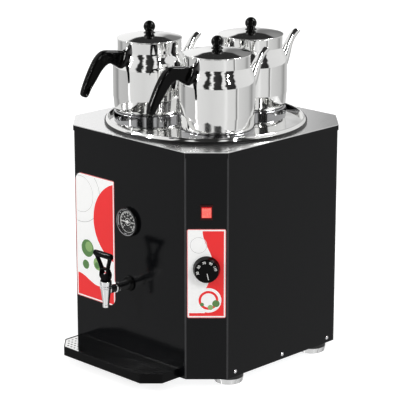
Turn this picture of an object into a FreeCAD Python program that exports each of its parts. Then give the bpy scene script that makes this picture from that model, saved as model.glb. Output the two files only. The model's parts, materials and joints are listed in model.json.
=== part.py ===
import FreeCAD, Part
import math
import os
import Sketcher

from FreeCAD import Placement, Rotation, Vector

# Tea urn with three teapots. Millimetres, +Z up, origin on the floor under the middle of
# the cabinet. The tap is on the front face (-Y), the controls on the cut corner at +X -Y.

doc = FreeCAD.newDocument("TeaUrn")
sheet = doc.addObject("Spreadsheet::Sheet", "Sizes")

TABLE = [
    # cabinet
    ("casing_half", 225, "half width and half depth of the cabinet"),
    ("casing_height", 475, "height of the folded wrap"),
    ("corner_cut", 60, "how far each corner is cut back along both sides"),
    ("casing_bend", 3, "outer radius of the folds"),
    ("casing_sheet", 1.5, "thickness of the wrap"),
    ("rear_return", 15, "width of each rear return beside the opening"),
    ("panel_sheet", 1.5, "thickness of the rear panel"),
    ("panel_lap", 12, "how far the rear panel covers each return"),
    ("panel_rise", 2, "lower edge of the rear panel above the cabinet's bottom"),
    ("pan_floor", 2, "floor of the base pan"),
    ("pan_flange", 24, "height of the base pan"),
    ("pan_sheet", 1.5, "flange of the base pan"),
    ("side_screw_rise", 11, "side screws above the cabinet's bottom"),
    ("side_screw_reach", 142, "outer side screws from the middle"),
    ("rear_screw_pitch", 130, "distance between the rear screws"),
    ("screw_radius", 2, "casing screw shank"),
    ("screw_gap", 0.1, "room round a screw shank"),
    ("screw_head", 4, "radius of the pan head"),
    ("screw_head_height", 2.6, "height of the pan head"),
    ("screw_length", 8, "length of the shank"),
    ("frame_lap", 2, "how far the top frame stands out from the wrap"),
    ("frame_gap", 0.2, "room between the frame and the wrap"),
    ("frame_skirt", 9, "how far the frame hangs over the wrap"),
    ("frame_sheet", 1.5, "top leg of the frame"),
    ("frame_leg", 20, "width of the frame's top leg"),
    ("plate_sheet", 1.5, "thickness of the top plate"),
    ("plate_step", 0.2, "top plate inside the frame's outline"),
    ("plate_hole_gap", 1, "plate's hole outside the tank's wall"),
    # feet
    ("foot_height", 20, "height of the feet"),
    ("foot_radius", 31, "widest radius of a foot"),
    ("foot_face", 27, "flat bottom radius of a foot"),
    ("foot_inset", 32, "feet inside the cabinet's sides"),
    ("foot_setback", 97, "feet behind the front and before the rear"),
    ("bolt_radius", 5, "foot bolt shank"),
    ("bolt_gap", 0.1, "room round a foot bolt in the pan"),
    ("bolt_grip", 8, "how deep the bolt goes into the foot"),
    ("bolt_head", 9.8, "corner radius of the bolt's hexagon"),
    ("bolt_head_height", 7, "height of the bolt's head"),
    # tank
    ("tank_room", 29, "between the tank's wall and the cabinet's sides"),
    ("tank_wall", 1.5, "wall of the tank"),
    ("tank_rise", 75, "tank's bottom above the cabinet's bottom"),
    ("tank_flange", 8, "width of the tank's rim flange"),
    ("shank_boss", 15, "radius of the tap's boss on the tank"),
    ("meter_boss", 8, "radius of the thermometer's boss on the tank"),
    ("boss_root", 6, "how far a boss reaches inward from the tank's outer face"),
    ("boss_out", 8, "how far a boss stands out of the tank"),
    ("wool_gap", 0.2, "insulation off the tank"),
    ("wool_thick", 17.8, "thickness of the insulation"),
    ("wool_rise", 15, "insulation above the tank's bottom"),
    ("wool_drop", 15, "insulation below the tank's rim"),
    ("wool_tap_hole", 20, "hole for the tap's boss"),
    ("wool_meter_hole", 12, "hole for the thermometer's boss"),
    ("wool_slot", 12, "width of the slot for the bulb"),
    ("wool_slot_over", 6.5, "slot for the bulb above the capillary's bend"),
    ("element_ring", 110, "radius of the heating ring"),
    ("element_rod", 4.25, "radius of the heating rod"),
    ("element_rise", 28.5, "ring above the tank's floor"),
    ("element_gap", 20, "angle between the ring's ends"),
    ("element_leg", 17, "legs below the tank's floor"),
    ("element_play", 0.05, "room round a leg"),
    ("element_nut", 9, "corner radius of a leg's nut"),
    ("element_nut_height", 6, "height of a leg's nut"),
    ("limit_radius", 13, "cap of the limit thermostat"),
    ("limit_body", 9, "body of the limit thermostat"),
    ("limit_height", 12, "height of the limit thermostat"),
    ("limit_x", 60, "limit thermostat from the middle"),
    ("block_length", 64, "length of the terminal block"),
    ("block_depth", 24, "depth of the terminal block"),
    ("block_height", 22, "height of the terminal block"),
    ("block_x", 92, "terminal block's middle, sideways"),
    ("block_inset", 63, "terminal block's middle before the rear"),
    ("gland_x", 110, "cable gland, sideways"),
    ("gland_rise", 50, "cable gland above the cabinet's bottom"),
    ("gland_bore", 4, "bore of the cable gland"),
    ("gland_thread", 8, "thread of the cable gland"),
    # controls
    ("knob_rise", 236.5, "knob above the cabinet's bottom"),
    ("knob_radius", 27.5, "radius of the knob at the panel"),
    ("knob_face", 23.4, "radius of the knob's face"),
    ("knob_height", 15, "height of the knob"),
    ("knob_gap", 2.2, "knob off the panel"),
    ("shaft_radius", 3, "thermostat shaft"),
    ("shaft_play", 0.05, "room round the shaft in its bearing"),
    ("shaft_tail", 20, "shaft behind the panel"),
    ("shaft_room", 1, "panel hole outside the shaft"),
    ("stat_side", 36, "side of the thermostat's body"),
    ("stat_depth", 22, "depth of the thermostat's body"),
    ("bulb_radius", 4, "thermostat bulb"),
    ("bulb_length", 90, "length of the bulb"),
    ("bulb_gap", 0.1, "bulb off the tank"),
    ("bulb_drop", 13.5, "bulb below the capillary's bend"),
    ("capillary", 1, "radius of the capillary"),
    ("switch_rise", 354.5, "switch above the cabinet's bottom"),
    ("bezel_width", 25.5, "width of the switch bezel"),
    ("bezel_height", 31, "height of the switch bezel"),
    ("bezel_thick", 2.5, "thickness of the switch bezel"),
    ("switch_width", 22.2, "width of the switch body"),
    ("switch_height", 28, "height of the switch body"),
    ("switch_depth", 22, "depth of the switch body"),
    ("switch_play", 0.2, "room round the switch body in the panel"),
    ("rocker_width", 20.2, "width of the rocker"),
    ("rocker_radius", 11.7, "radius of the rocker's ends"),
    ("rocker_play", 0.1, "room round the rocker"),
    ("rocker_tilt", 10, "tilt of the rocker to each side"),
    ("rocker_pin", 1.5, "radius of the rocker's pin"),
    ("pin_play", 0.05, "room round a pin"),
    ("label_thick", 0.3, "thickness of both labels"),
    ("corner_label_width", 78, "width of the control label"),
    ("corner_label_low", 132.6, "its lower edge above the cabinet's bottom"),
    ("corner_label_height", 187, "height of the control label"),
    ("corner_label_round", 4, "corner radius of the control label"),
    ("label_shaft_hole", 5, "hole for the shaft in the control label"),
    ("front_label_inset", 2, "front label inside the fold on the left"),
    ("front_label_width", 119.5, "width of the front label"),
    ("front_label_low", 105, "its lower edge above the cabinet's bottom"),
    ("front_label_height", 273, "height of the front label"),
    ("front_label_round", 20, "its two large corner radii"),
    ("front_label_nip", 3, "its two small corner radii"),
    # thermometer
    ("meter_rise", 301, "thermometer above the cabinet's bottom"),
    ("meter_bezel", 31, "radius of the thermometer's bezel"),
    ("meter_out", 8, "how far the bezel stands out"),
    ("meter_barrel", 26.7, "radius of the barrel behind the bezel"),
    ("meter_back", 9, "depth of the barrel behind the panel"),
    ("meter_hole_gap", 0.3, "room round the barrel in the panel"),
    ("meter_window", 25, "radius of the dial's well"),
    ("meter_floor", 2, "floor of the dial's well off the panel"),
    ("meter_stem", 4, "radius of the stem"),
    ("stem_play", 0.1, "room round the stem in its boss"),
    ("dial_radius", 24.8, "radius of the dial"),
    ("dial_thick", 0.8, "thickness of the dial"),
    ("glass_radius", 25.8, "radius of the glass"),
    ("glass_thick", 1.5, "thickness of the glass"),
    ("glass_seat", 3.2, "seat of the glass above the well's floor"),
    ("needle_pivot", 1, "radius of the needle's pivot"),
    ("needle_hub", 3, "radius of the needle's hub"),
    ("needle_length", 19, "length of the needle"),
    # tap
    ("tap_rise", 168, "tap's arm above the cabinet's bottom"),
    ("tap_reach", 66, "tap's axis in front of the cabinet"),
    ("shank_radius", 9.5, "radius of the tap's shank"),
    ("shank_out", 33, "shank in front of the cabinet"),
    ("shank_room", 0.5, "panel hole outside the shank"),
    ("shank_play", 0.05, "room round the shank in boss and nut"),
    ("tap_bore", 5, "water way of the tap"),
    ("locknut_corner", 15, "corner radius of the shank's nut"),
    ("locknut_height", 7, "height of the shank's nut"),
    ("rosette_radius", 16.5, "radius of the tap's rosette"),
    ("rosette_thick", 4, "thickness of the tap's rosette"),
    ("tap_top_radius", 12, "radius of the tap's head"),
    ("tap_tip_radius", 7, "radius of the spout's tip"),
    ("tap_arm", 9, "radius of the tap's arm"),
    ("tap_drop", 36, "spout's tip below the arm"),
    ("tap_head", 20.6, "tap's head above the arm"),
    ("tap_chamber", 8.5, "radius of the valve chamber"),
    ("tap_seat", 2, "valve seat below the arm"),
    ("bonnet_radius", 11.5, "radius of the bonnet's flange"),
    ("bonnet_flange", 1, "thickness of the bonnet's flange"),
    ("post_x", 7.5, "half width of the bonnet's post"),
    ("post_y", 7, "half depth of the bonnet's post"),
    ("post_height", 15.4, "height of the bonnet with its post"),
    ("pivot_height", 10.4, "lever's pivot above the tap's head"),
    ("stem_radius", 3, "tap stem"),
    ("stem_room", 0.1, "room round the tap stem"),
    ("button_radius", 5, "head of the tap stem"),
    ("button_gap", 0.3, "head of the stem above the post"),
    ("cup_play", 0.3, "room round the seat cup"),
    ("cup_gap", 0.2, "seat cup above the seat"),
    ("cup_height", 9.8, "height of the seat cup"),
    ("lever_pin", 1.6, "radius of the lever's pins"),
    ("cheek_gap", 0.3, "lever's cheeks off the post"),
    ("cheek_thick", 3.7, "thickness of a cheek"),
    ("cheek_radius", 9, "radius of a cheek"),
    ("lever_thick", 7, "thickness of the lever"),
    ("lever_lean", 7.4, "forward lean of the lever"),
    ("lever_crotch", 12.3, "lever's bridge above the pivot"),
    ("lever_bridge", 2.7, "height of the lever's bridge"),
    ("lever_fork", 31.5, "height of the lever's fork"),
    ("bar_length", 53, "length of the lever's bar"),
    ("bar_radius", 5.3, "radius of the lever's bar"),
    # drip tray
    ("tray_width", 296, "width of the drip tray"),
    ("tray_depth", 82, "depth of the drip tray"),
    ("tray_cut", 32, "cut of its front corners"),
    ("tray_height", 20, "height of the drip tray"),
    ("tray_rim", 1.7, "rim round the drip grid"),
    ("tray_wall", 5, "wall below the drip grid"),
    ("tray_floor", 1.5, "floor of the drip tray"),
    ("tray_lip", 2.2, "depth of the seat for the drip grid"),
    ("tray_gap", 0.3, "tray off the cabinet"),
    ("grid_thick", 1.2, "thickness of the drip grid"),
    ("grid_gap", 0.2, "room round the drip grid"),
    ("grid_pitch", 10, "pitch of its holes"),
    ("grid_hole", 2.25, "radius of its holes"),
    ("arm_width", 20, "width of a tray arm"),
    ("arm_thick", 2.5, "thickness of a tray arm"),
    ("arm_x", 100, "tray arms from the middle"),
    ("arm_out", 65, "tray arms in front of the cabinet"),
    ("arm_in", 45, "tray arms under the cabinet"),
    # tank lid
    ("lid_sheet", 1.5, "floor of the tank lid"),
    ("lid_overhang", 16.5, "tank lid outside the tank's wall"),
    ("lid_rim", 11, "height of the tank lid's rim"),
    ("lid_roll", 7, "width of the rolled rim"),
    ("spigot_gap", 0.7, "spigot inside the tank's wall"),
    ("spigot_wall", 3.8, "wall of the spigot"),
    ("spigot_depth", 8, "depth of the spigot"),
    ("steam_inset", 28, "steam holes inside the teapots' radius"),
    ("collar_room", 3, "between the collars and the rim"),
    ("pot_first", -34.8, "direction of the front teapot"),
    ("pot_turn", 83, "direction of the teapots' spouts"),
    ("collar_height", 12, "height of the collars"),
    ("collar_inset", 1.5, "collars inside the teapots' radius"),
    ("collar_lip_width", 4.5, "width of the collars' lip"),
    ("collar_sheet", 1.5, "thickness of the collars"),
    ("pot_lift", 7, "teapot's bottom above the tank lid's floor"),
    # teapot
    ("pot_wall", 1.5, "wall of the teapot"),
    ("pot_heel", 16, "radius of the teapot's heel"),
    ("pot_apart", 24.75, "teapot's radius less than half of the lid's inner radius"),
    ("pot_taper", 2, "how much narrower the teapot is above its heel"),
    ("pot_waist", 38.5, "height where the taper ends"),
    ("pot_side", 97.5, "height where the shoulder begins"),
    ("shoulder_out", 50, "radius of the shoulder"),
    ("shoulder_in", 28.4, "radius of the throat"),
    ("pot_height", 159.5, "height of the teapot's rim"),
    ("rim_bead", 1.1, "radius of the rim's bead"),
    ("pot_hole", 12.5, "radius of the hole behind the spout"),
    ("spout_wall", 1.2, "wall of the spout"),
    ("spout_low", 65.5, "height of the spout's root"),
    ("spout_reach", 71.5, "spout's mouth out from its root"),
    ("handle_off", 4, "handle's upper curve begins outside the teapot's radius"),
    ("handle_reach", 93.5, "handle's tip out from there"),
    ("handle_root_low", 2.3, "handle's lower root inside that line"),
    ("handle_root_high", 12, "handle's upper root inside that line"),
    ("handle_width", 17, "width of the handle"),
    ("handle_round", 5, "rounding of the handle's edges"),
    ("handle_low", 103.5, "lower edge of the handle's root"),
    ("bracket_width", 12, "width of the handle's bracket"),
    ("bracket_inset", 4, "bracket above the handle's lower edge"),
    ("bracket_height", 29, "height of the bracket"),
    ("cover_lap", 2, "lid outside the teapot's neck"),
    ("cover_gap", 0.1, "lid above the rim"),
    ("cover_sheet", 1.2, "sheet of the lid"),
    ("cover_play", 0.8, "lid's skirt inside the teapot"),
    ("cover_skirt", 8, "depth of the lid's skirt"),
    ("cover_shoulder", 5.2, "height of the lid's rounded shoulder"),
    ("cover_rise", 1.6, "rise of the lid's dome above its shoulder"),
    ("grip_base", 12.3, "foot of the lid's knob"),
    ("grip_neck", 7.7, "neck of the lid's knob"),
    ("grip_ball", 12.5, "ball of the lid's knob"),
    ("grip_height", 28.4, "height of the lid's knob"),
]


class Size:
    """A length together with the spreadsheet text that gives it."""

    def __init__(self, value, text=None):
        self.value = float(value)
        self.bound = text is not None
        self.text = text if self.bound else ("%.6f" % self.value).rstrip("0").rstrip(".")

    @staticmethod
    def of(thing):
        return thing if isinstance(thing, Size) else Size(thing)

    def join(self, other, sign, value):
        other = Size.of(other)
        if not self.bound and not other.bound:
            return Size(value)
        return Size(value, "(%s %s %s)" % (self.text, sign, other.text))

    def __add__(self, other):
        return self.join(other, "+", self.value + Size.of(other).value)

    def __sub__(self, other):
        return self.join(other, "-", self.value - Size.of(other).value)

    def __mul__(self, other):
        return self.join(other, "*", self.value * Size.of(other).value)

    def __truediv__(self, other):
        return self.join(other, "/", self.value / Size.of(other).value)

    def __radd__(self, other):
        return Size.of(other) + self

    def __rsub__(self, other):
        return Size.of(other) - self

    def __rmul__(self, other):
        return Size.of(other) * self

    def __neg__(self):
        return Size(-self.value, "(0 - %s)" % self.text if self.bound else None)


def call(name, size, value):
    size = Size.of(size)
    if not size.bound:
        return Size(value)
    return Size(value, "%s(%s)" % (name, size.text))


def sine(size):
    return call("sin", size, math.sin(math.radians(Size.of(size).value)))


def cosine(size):
    return call("cos", size, math.cos(math.radians(Size.of(size).value)))


def root(size):
    return call("sqrt", size, math.sqrt(Size.of(size).value))


class Sizes:
    pass


s = Sizes()
for row, (alias, start, note) in enumerate(TABLE, 1):
    sheet.set("A%d" % row, note)
    sheet.set("B%d" % row, str(start))
    sheet.setAlias("B%d" % row, alias)
doc.recompute()
for alias, start, note in TABLE:
    setattr(s, alias, Size(getattr(sheet, alias), "Sizes." + alias))

nodes = []
UP = Vector(0, 0, 1)


def bind(item, path, size):
    """Give one property its number, and its spreadsheet text where it has one."""
    size = Size.of(size)
    if path.startswith("Placement.Base."):
        base = item.Placement.Base
        setattr(base, path[-1], size.value)
        item.Placement = Placement(base, item.Placement.Rotation)
    elif path.startswith("AttachmentOffset.Base."):
        base = item.AttachmentOffset.Base
        setattr(base, path[-1], size.value)
        item.AttachmentOffset = Placement(base, item.AttachmentOffset.Rotation)
    else:
        setattr(item, path, size.value)
    if size.bound:
        item.setExpression(path, size.text)


def place(item, at=(0, 0, 0), turn=None):
    if isinstance(turn, Size):
        item.Placement = Placement(Vector(0, 0, 0), Rotation(UP, turn.value))
        item.setExpression("Placement.Rotation.Angle", turn.text)
    else:
        item.Placement = Placement(Vector(0, 0, 0), turn or Rotation())
    for axis, size in zip("xyz", at):
        bind(item, "Placement.Base." + axis, size)
    return item


def node(item, label):
    item.Label = label
    nodes.append(item)
    return item


def body(label, at=(0, 0, 0), turn=None, kept=True):
    item = doc.addObject("PartDesign::Body", label if kept else label + "_form")
    place(item, at, turn)
    return node(item, label) if kept else item


def draw(owner, plane, lift=0, turn=None, side=0):
    """A sketch on one of the body's own planes, lifted along that plane's normal."""
    item = owner.newObject("Sketcher::SketchObject", owner.Name + "_sketch")
    face = [one for one in owner.Origin.OriginFeatures if one.Role == plane + "_Plane"][0]
    item.AttachmentSupport = [(face, "")]
    item.MapMode = "FlatFace"
    item.AttachmentOffset = Placement(Vector(0, 0, 0), turn or Rotation())
    bind(item, "AttachmentOffset.Base.x", side)
    bind(item, "AttachmentOffset.Base.z", lift)
    return item


def fix(item, rules, geometry, vertex, x, y):
    """Hold one point of a sketch at x, y."""
    for kind, axis, size in (("DistanceX", -2, x), ("DistanceY", -1, y)):
        size = Size.of(size)
        if abs(size.value) < 1e-9:
            rules.append((Sketcher.Constraint("PointOnObject", geometry, vertex, axis), None))
        else:
            rule = Sketcher.Constraint(kind, geometry, vertex, size.value)
            rules.append((rule, size))


def apply(item, rules):
    numbers = item.addConstraint([rule for rule, size in rules])
    for number, (rule, size) in zip(numbers, rules):
        if size is not None and size.bound:
            item.setExpression("Constraints[%d]" % number, size.text)


def outline(item, points):
    """A closed outline. A point reached by an arc also has its radius and centre's side."""
    count = len(points)
    first = item.GeometryCount
    ends = []
    rules = []
    for index in range(count):
        here = points[index]
        there = points[(index + 1) % count]
        start = Vector(Size.of(here[0]).value, Size.of(here[1]).value, 0)
        end = Vector(Size.of(there[0]).value, Size.of(there[1]).value, 0)
        if len(there) == 2:
            item.addGeometry(Part.LineSegment(start, end), False)
            ends.append((1, 2))
            continue
        radius = Size.of(there[2]).value
        chord = end - start
        rise = math.sqrt(max(radius ** 2 - (chord.Length / 2) ** 2, 0))
        away = Vector(-chord.y, chord.x, 0).normalize()
        if there[3] == "right":
            away = away * -1
        middle = (start + end) * 0.5 + away * rise
        ray = start - middle
        other = end - middle
        begin = math.atan2(ray.y, ray.x)
        finish = math.atan2(other.y, other.x)
        if there[3] == "right":
            begin, finish = finish, begin
        if finish < begin:
            finish += 2 * math.pi
        circle = Part.Circle(middle, Vector(0, 0, 1), radius)
        item.addGeometry(Part.ArcOfCircle(circle, begin, finish), False)
        ends.append((1, 2) if there[3] == "left" else (2, 1))
        rules.append((Sketcher.Constraint("Radius", first + index, radius), Size.of(there[2])))
    for index in range(count):
        after = (index + 1) % count
        joint = Sketcher.Constraint(
            "Coincident", first + index, ends[index][1], first + after, ends[after][0])
        rules.append((joint, None))
        fix(item, rules, first + index, ends[index][0], points[index][0], points[index][1])
    apply(item, rules)
    return item


def ring(item, x, y, radius):
    number = item.GeometryCount
    centre = Vector(Size.of(x).value, Size.of(y).value, 0)
    item.addGeometry(Part.Circle(centre, Vector(0, 0, 1), Size.of(radius).value), False)
    rules = [(Sketcher.Constraint("Radius", number, Size.of(radius).value), Size.of(radius))]
    fix(item, rules, number, 3, x, y)
    apply(item, rules)
    return item


def rectangle(item, left, right, low, high):
    return outline(item, [(left, low), (right, low), (right, high), (left, high)])


def hexagon(item, x, y, corner):
    points = []
    for step in range(6):
        turn = math.radians(60 * step)
        points.append((x + corner * math.cos(turn), y + corner * math.sin(turn)))
    return outline(item, points)


def pad(owner, item, length, both=False):
    step = owner.newObject("PartDesign::Pad", owner.Name + "_pad")
    step.Profile = item
    if both:
        step.Midplane = True
    bind(step, "Length", length)
    owner.Tip = step
    return step


def pocket(owner, item, depth, both=False):
    step = owner.newObject("PartDesign::Pocket", owner.Name + "_pocket")
    step.Profile = item
    if both:
        step.Midplane = True
    bind(step, "Length", depth)
    owner.Tip = step
    return step


def revolve(owner, item):
    step = owner.newObject("PartDesign::Revolution", owner.Name + "_turned")
    step.Profile = item
    step.ReferenceAxis = (item, ["V_Axis"])
    step.Angle = 360
    owner.Tip = step
    return step


def turned(label, points, at=(0, 0, 0), turn=None, kept=True):
    """A piece turned about its own Z axis from (radius, height) points."""
    item = body(label, at, turn, kept)
    revolve(item, outline(draw(item, "XZ"), points))
    return item


def rod(name, radius, length, at=(0, 0, 0), turn=None):
    item = doc.addObject("Part::Cylinder", name)
    bind(item, "Radius", radius)
    bind(item, "Height", length)
    return place(item, at, turn)


def block(name, length, width, height, at=(0, 0, 0)):
    item = doc.addObject("Part::Box", name)
    bind(item, "Length", length)
    bind(item, "Width", width)
    bind(item, "Height", height)
    return place(item, at)


def ball(name, radius, at=(0, 0, 0)):
    item = doc.addObject("Part::Sphere", name)
    bind(item, "Radius", radius)
    return place(item, at)


def fuse(name, items):
    item = doc.addObject("Part::MultiFuse", name)
    item.Shapes = items
    return item


def cut(name, base, tool):
    item = doc.addObject("Part::Cut", name)
    item.Base = base
    item.Tool = tool
    return item


def copies(label, source, spots):
    """The same piece at several spots, each spot a place and a turn."""
    links = []
    for at, turn in spots:
        link = doc.addObject("App::Link", label + "_copy")
        link.LinkedObject = source
        place(link, at, turn)
        links.append(link)
    item = doc.addObject("Part::Compound", label)
    item.Links = links
    return node(item, label)


FRONT = Rotation(Vector(1, 0, 0), 90)
REAR = Rotation(Vector(1, 0, 0), -90)
CORNER = Rotation(UP, 45)
CORNER_FRONT = CORNER.multiply(FRONT)
DIAGONAL = math.sqrt(0.5)
NIP = 2 - math.sqrt(2)

# heights and distances that several pieces share
s.tank_radius = s.casing_half - s.tank_room
s.lid_radius = s.tank_radius + s.lid_overhang
s.lid_inner = s.lid_radius - s.lid_roll
s.pot_radius = s.lid_inner / 2 - s.pot_apart
s.pot_base = s.pot_radius - s.pot_taper - s.pot_heel
s.collar_radius = s.pot_radius - s.collar_inset
s.collar_lip = s.collar_radius - s.collar_lip_width
s.pot_ring = s.lid_inner - s.collar_radius - s.collar_room
s.steam_hole = s.pot_radius - s.steam_inset
s.handle_out = s.pot_radius + s.handle_off
rear_half = s.casing_half - s.corner_cut - s.rear_return
base = s.foot_height
casing_top = base + s.casing_height
frame_top = casing_top + s.frame_sheet
plate_top = frame_top + s.plate_sheet
lid_floor = plate_top + s.lid_sheet
pot_z = lid_floor + s.pot_lift
tank_z = base + s.tank_rise
tank_inner = s.tank_radius - s.tank_wall
tap_z = base + s.tap_rise
meter_z = base + s.meter_rise
knob_z = base + s.knob_rise
switch_z = base + s.switch_rise
bend_z = knob_z - s.stat_side / 2 - 10
corner_mid = s.casing_half - s.corner_cut / 2
corner_far = corner_mid / DIAGONAL
screw_hole = s.screw_radius + s.screw_gap


def corners(out):
    """Both ends of each fold of the cabinet's outline moved out by a length, from the
    rear left corner anticlockwise, with the fold's radius."""
    half = s.casing_half + out
    near = half - s.corner_cut - out * NIP
    bend = s.casing_bend + out
    slip = bend * math.tan(math.radians(22.5))
    spots = [(-near, half), (-half, near), (-half, -near), (-near, -half),
             (near, -half), (half, -near), (half, near), (near, half)]
    ways = [(-1, 0), (-DIAGONAL, -DIAGONAL), (0, -1), (DIAGONAL, -DIAGONAL), (1, 0),
            (DIAGONAL, DIAGONAL), (0, 1), (-DIAGONAL, DIAGONAL), (-1, 0)]
    pairs = []
    for index, (x, y) in enumerate(spots):
        before = ways[index]
        after = ways[index + 1]
        enter = (x - slip * before[0] if before[0] else x, y - slip * before[1] if before[1] else y)
        leave = (x + slip * after[0] if after[0] else x, y + slip * after[1] if after[1] else y)
        pairs.append((enter, leave))
    return pairs, bend


def closed(out):
    points = []
    pairs, bend = corners(out)
    for enter, leave in pairs:
        points.append(enter)
        points.append((leave[0], leave[1], bend, "left"))
    return points


# folded wrap: front, sides and cut corners in one sheet, open at the rear
wrap = body("casing_wrap")
way = [(-rear_half, s.casing_half)]
way += closed(Size(0))
way.append((rear_half, s.casing_half))
way.append((rear_half, s.casing_half - s.casing_sheet))
inner, inner_bend = corners(-s.casing_sheet)
for enter, leave in reversed(inner):
    way.append(leave)
    way.append((enter[0], enter[1], inner_bend, "right"))
way.append((-rear_half, s.casing_half - s.casing_sheet))
pad(wrap, outline(draw(wrap, "XY", base), way), s.casing_height)
holes = draw(wrap, "XZ", s.casing_half + 1)
ring(holes, 0, tap_z, s.shank_radius + s.shank_room)
ring(holes, 0, meter_z, s.meter_barrel + s.meter_hole_gap)
pocket(wrap, holes, s.casing_sheet + 2)
corner_turn = Rotation(Vector(0, 1, 0), 45)
holes = draw(wrap, "XZ", corner_mid + DIAGONAL, corner_turn, corner_mid + DIAGONAL)
ring(holes, 0, knob_z, s.shaft_radius + s.shaft_room)
cut_x = s.switch_width / 2 + s.switch_play
cut_z = s.switch_height / 2 + s.switch_play
rectangle(holes, -cut_x, cut_x, switch_z - cut_z, switch_z + cut_z)
pocket(wrap, holes, s.casing_sheet + 2)
side_spots = [(-s.side_screw_reach, base + s.side_screw_rise), (0, base + s.side_screw_rise),
              (s.side_screw_reach, base + s.side_screw_rise)]
holes = draw(wrap, "YZ")
for y, z in side_spots:
    ring(holes, y, z, screw_hole)
pocket(wrap, holes, s.casing_half * 2 + 20, both=True)
panel_half = rear_half + s.panel_lap
rear_x = rear_half + s.panel_lap * 0.6
rear_low = base + s.panel_rise + 38
rear_spots = [(side * rear_x, rear_low + s.rear_screw_pitch * step)
              for side in (-1, 1) for step in range(4)]
holes = draw(wrap, "XZ", 1 + s.casing_sheet - s.casing_half)
for x, z in rear_spots:
    ring(holes, x, z, screw_hole)
pocket(wrap, holes, s.casing_sheet + 2)

# flat rear panel, screwed on the wrap's returns
panel = body("rear_panel")
frame_low = casing_top - s.frame_skirt
face = draw(panel, "XZ", -s.casing_half - s.panel_sheet)
rectangle(face, -panel_half, panel_half, base + s.panel_rise, frame_low - 1)
for x, z in rear_spots:
    ring(face, x, z, screw_hole)
gland_z = base + s.gland_rise
ring(face, s.gland_x, gland_z, s.gland_thread + s.screw_gap)
pad(panel, face, s.panel_sheet)

# base pan with a flange inside the wrap
pan = body("base_pan")
pad(pan, outline(draw(pan, "XY", base), closed(-s.casing_sheet)), s.pan_flange)
well = draw(pan, "XY", base + s.pan_flange + 1)
pocket(pan, outline(well, closed(-s.casing_sheet - s.pan_sheet + 0.4)),
       s.pan_flange - s.pan_floor + 1)
holes = draw(pan, "XY", base + s.pan_floor + 1)
foot_x = s.casing_half - s.foot_inset
foot_y = s.casing_half - s.foot_setback
foot_spots = [(foot_x, foot_y), (-foot_x, foot_y), (-foot_x, -foot_y), (foot_x, -foot_y)]
for x, y in foot_spots:
    ring(holes, x, y, s.bolt_radius + s.bolt_gap)
pocket(pan, holes, s.pan_floor + 2)
holes = draw(pan, "YZ")
for y, z in side_spots:
    ring(holes, y, z, screw_hole)
pocket(pan, holes, s.casing_half * 2 + 20, both=True)

# angle frame round the top edge
frame = body("top_frame")
pad(frame, outline(draw(frame, "XY", frame_low), closed(s.frame_lap)),
    s.frame_skirt + s.frame_sheet)
pocket(frame, outline(draw(frame, "XY", casing_top), closed(s.frame_gap)), s.frame_skirt + 1)
inside = s.casing_half + s.frame_lap - s.frame_leg
near = inside - s.corner_cut + s.frame_leg * NIP
mouth = [(near, -inside), (inside, -near), (inside, near), (near, inside),
         (-near, inside), (-inside, near), (-inside, -near), (-near, -inside)]
pocket(frame, outline(draw(frame, "XY", frame_top + 1), mouth), s.frame_sheet + 2)

# satin top plate with the mouth of the tank
plate = body("top_plate")
face = draw(plate, "XY", frame_top)
outline(face, closed(s.frame_lap - s.plate_step))
ring(face, 0, 0, s.tank_radius + s.plate_hole_gap)
pad(plate, face, s.plate_sheet)

# tank with a rim flange under the top plate, and a boss for tap and thermometer
flange = s.tank_radius + s.tank_flange
tank = turned("tank", [
    (0, tank_z), (s.tank_radius, tank_z), (s.tank_radius, casing_top), (flange, casing_top),
    (flange, frame_top), (tank_inner, frame_top), (tank_inner, tank_z + s.tank_wall),
    (0, tank_z + s.tank_wall)])
boss_length = s.boss_root + s.boss_out
boss_low = s.tank_radius - s.boss_root
pad(tank, ring(draw(tank, "XZ", boss_low), 0, tap_z, s.shank_boss), boss_length + 2)
pad(tank, ring(draw(tank, "XZ", boss_low), 0, meter_z, s.meter_boss), boss_length)
pocket(tank, ring(draw(tank, "XZ", s.tank_radius + s.boss_out + 3), 0, tap_z,
                  s.shank_radius + s.shank_play), boss_length + 5)
pocket(tank, ring(draw(tank, "XZ", s.tank_radius + s.boss_out + 3), 0, meter_z,
                  s.meter_stem + s.stem_play), boss_length + 5)
end_angle = 90 - s.element_gap / 2
leg_x = s.element_ring * cosine(end_angle)
leg_y = s.element_ring * sine(end_angle)
holes = draw(tank, "XY", tank_z + s.tank_wall + 1)
for side in (-1, 1):
    ring(holes, leg_x * side, leg_y, s.element_rod + s.element_play)
pocket(tank, holes, s.tank_wall + 2)

# mineral wool round the tank, with a slot for the thermostat's bulb
wool = body("insulation_jacket")
wool_in = s.tank_radius + s.wool_gap
wool_out = wool_in + s.wool_thick
wool_z = tank_z + s.wool_rise
face = draw(wool, "XY", wool_z)
ring(face, 0, 0, wool_in)
ring(face, 0, 0, wool_out)
pad(wool, face, casing_top - s.wool_drop - wool_z)
holes = draw(wool, "XZ", s.tank_radius - 20)
ring(holes, 0, tap_z, s.wool_tap_hole)
ring(holes, 0, meter_z, s.wool_meter_hole)
step = pocket(wool, holes, s.wool_thick + 40)
step.Reversed = True
slot = draw(wool, "XZ", (s.tank_radius - 20) * DIAGONAL, corner_turn,
            (s.tank_radius - 20) * DIAGONAL)
rectangle(slot, -s.wool_slot / 2, s.wool_slot / 2, wool_z - 1, bend_z + s.wool_slot_over)
step = pocket(wool, slot, s.wool_thick + 40)
step.Reversed = True

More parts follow.
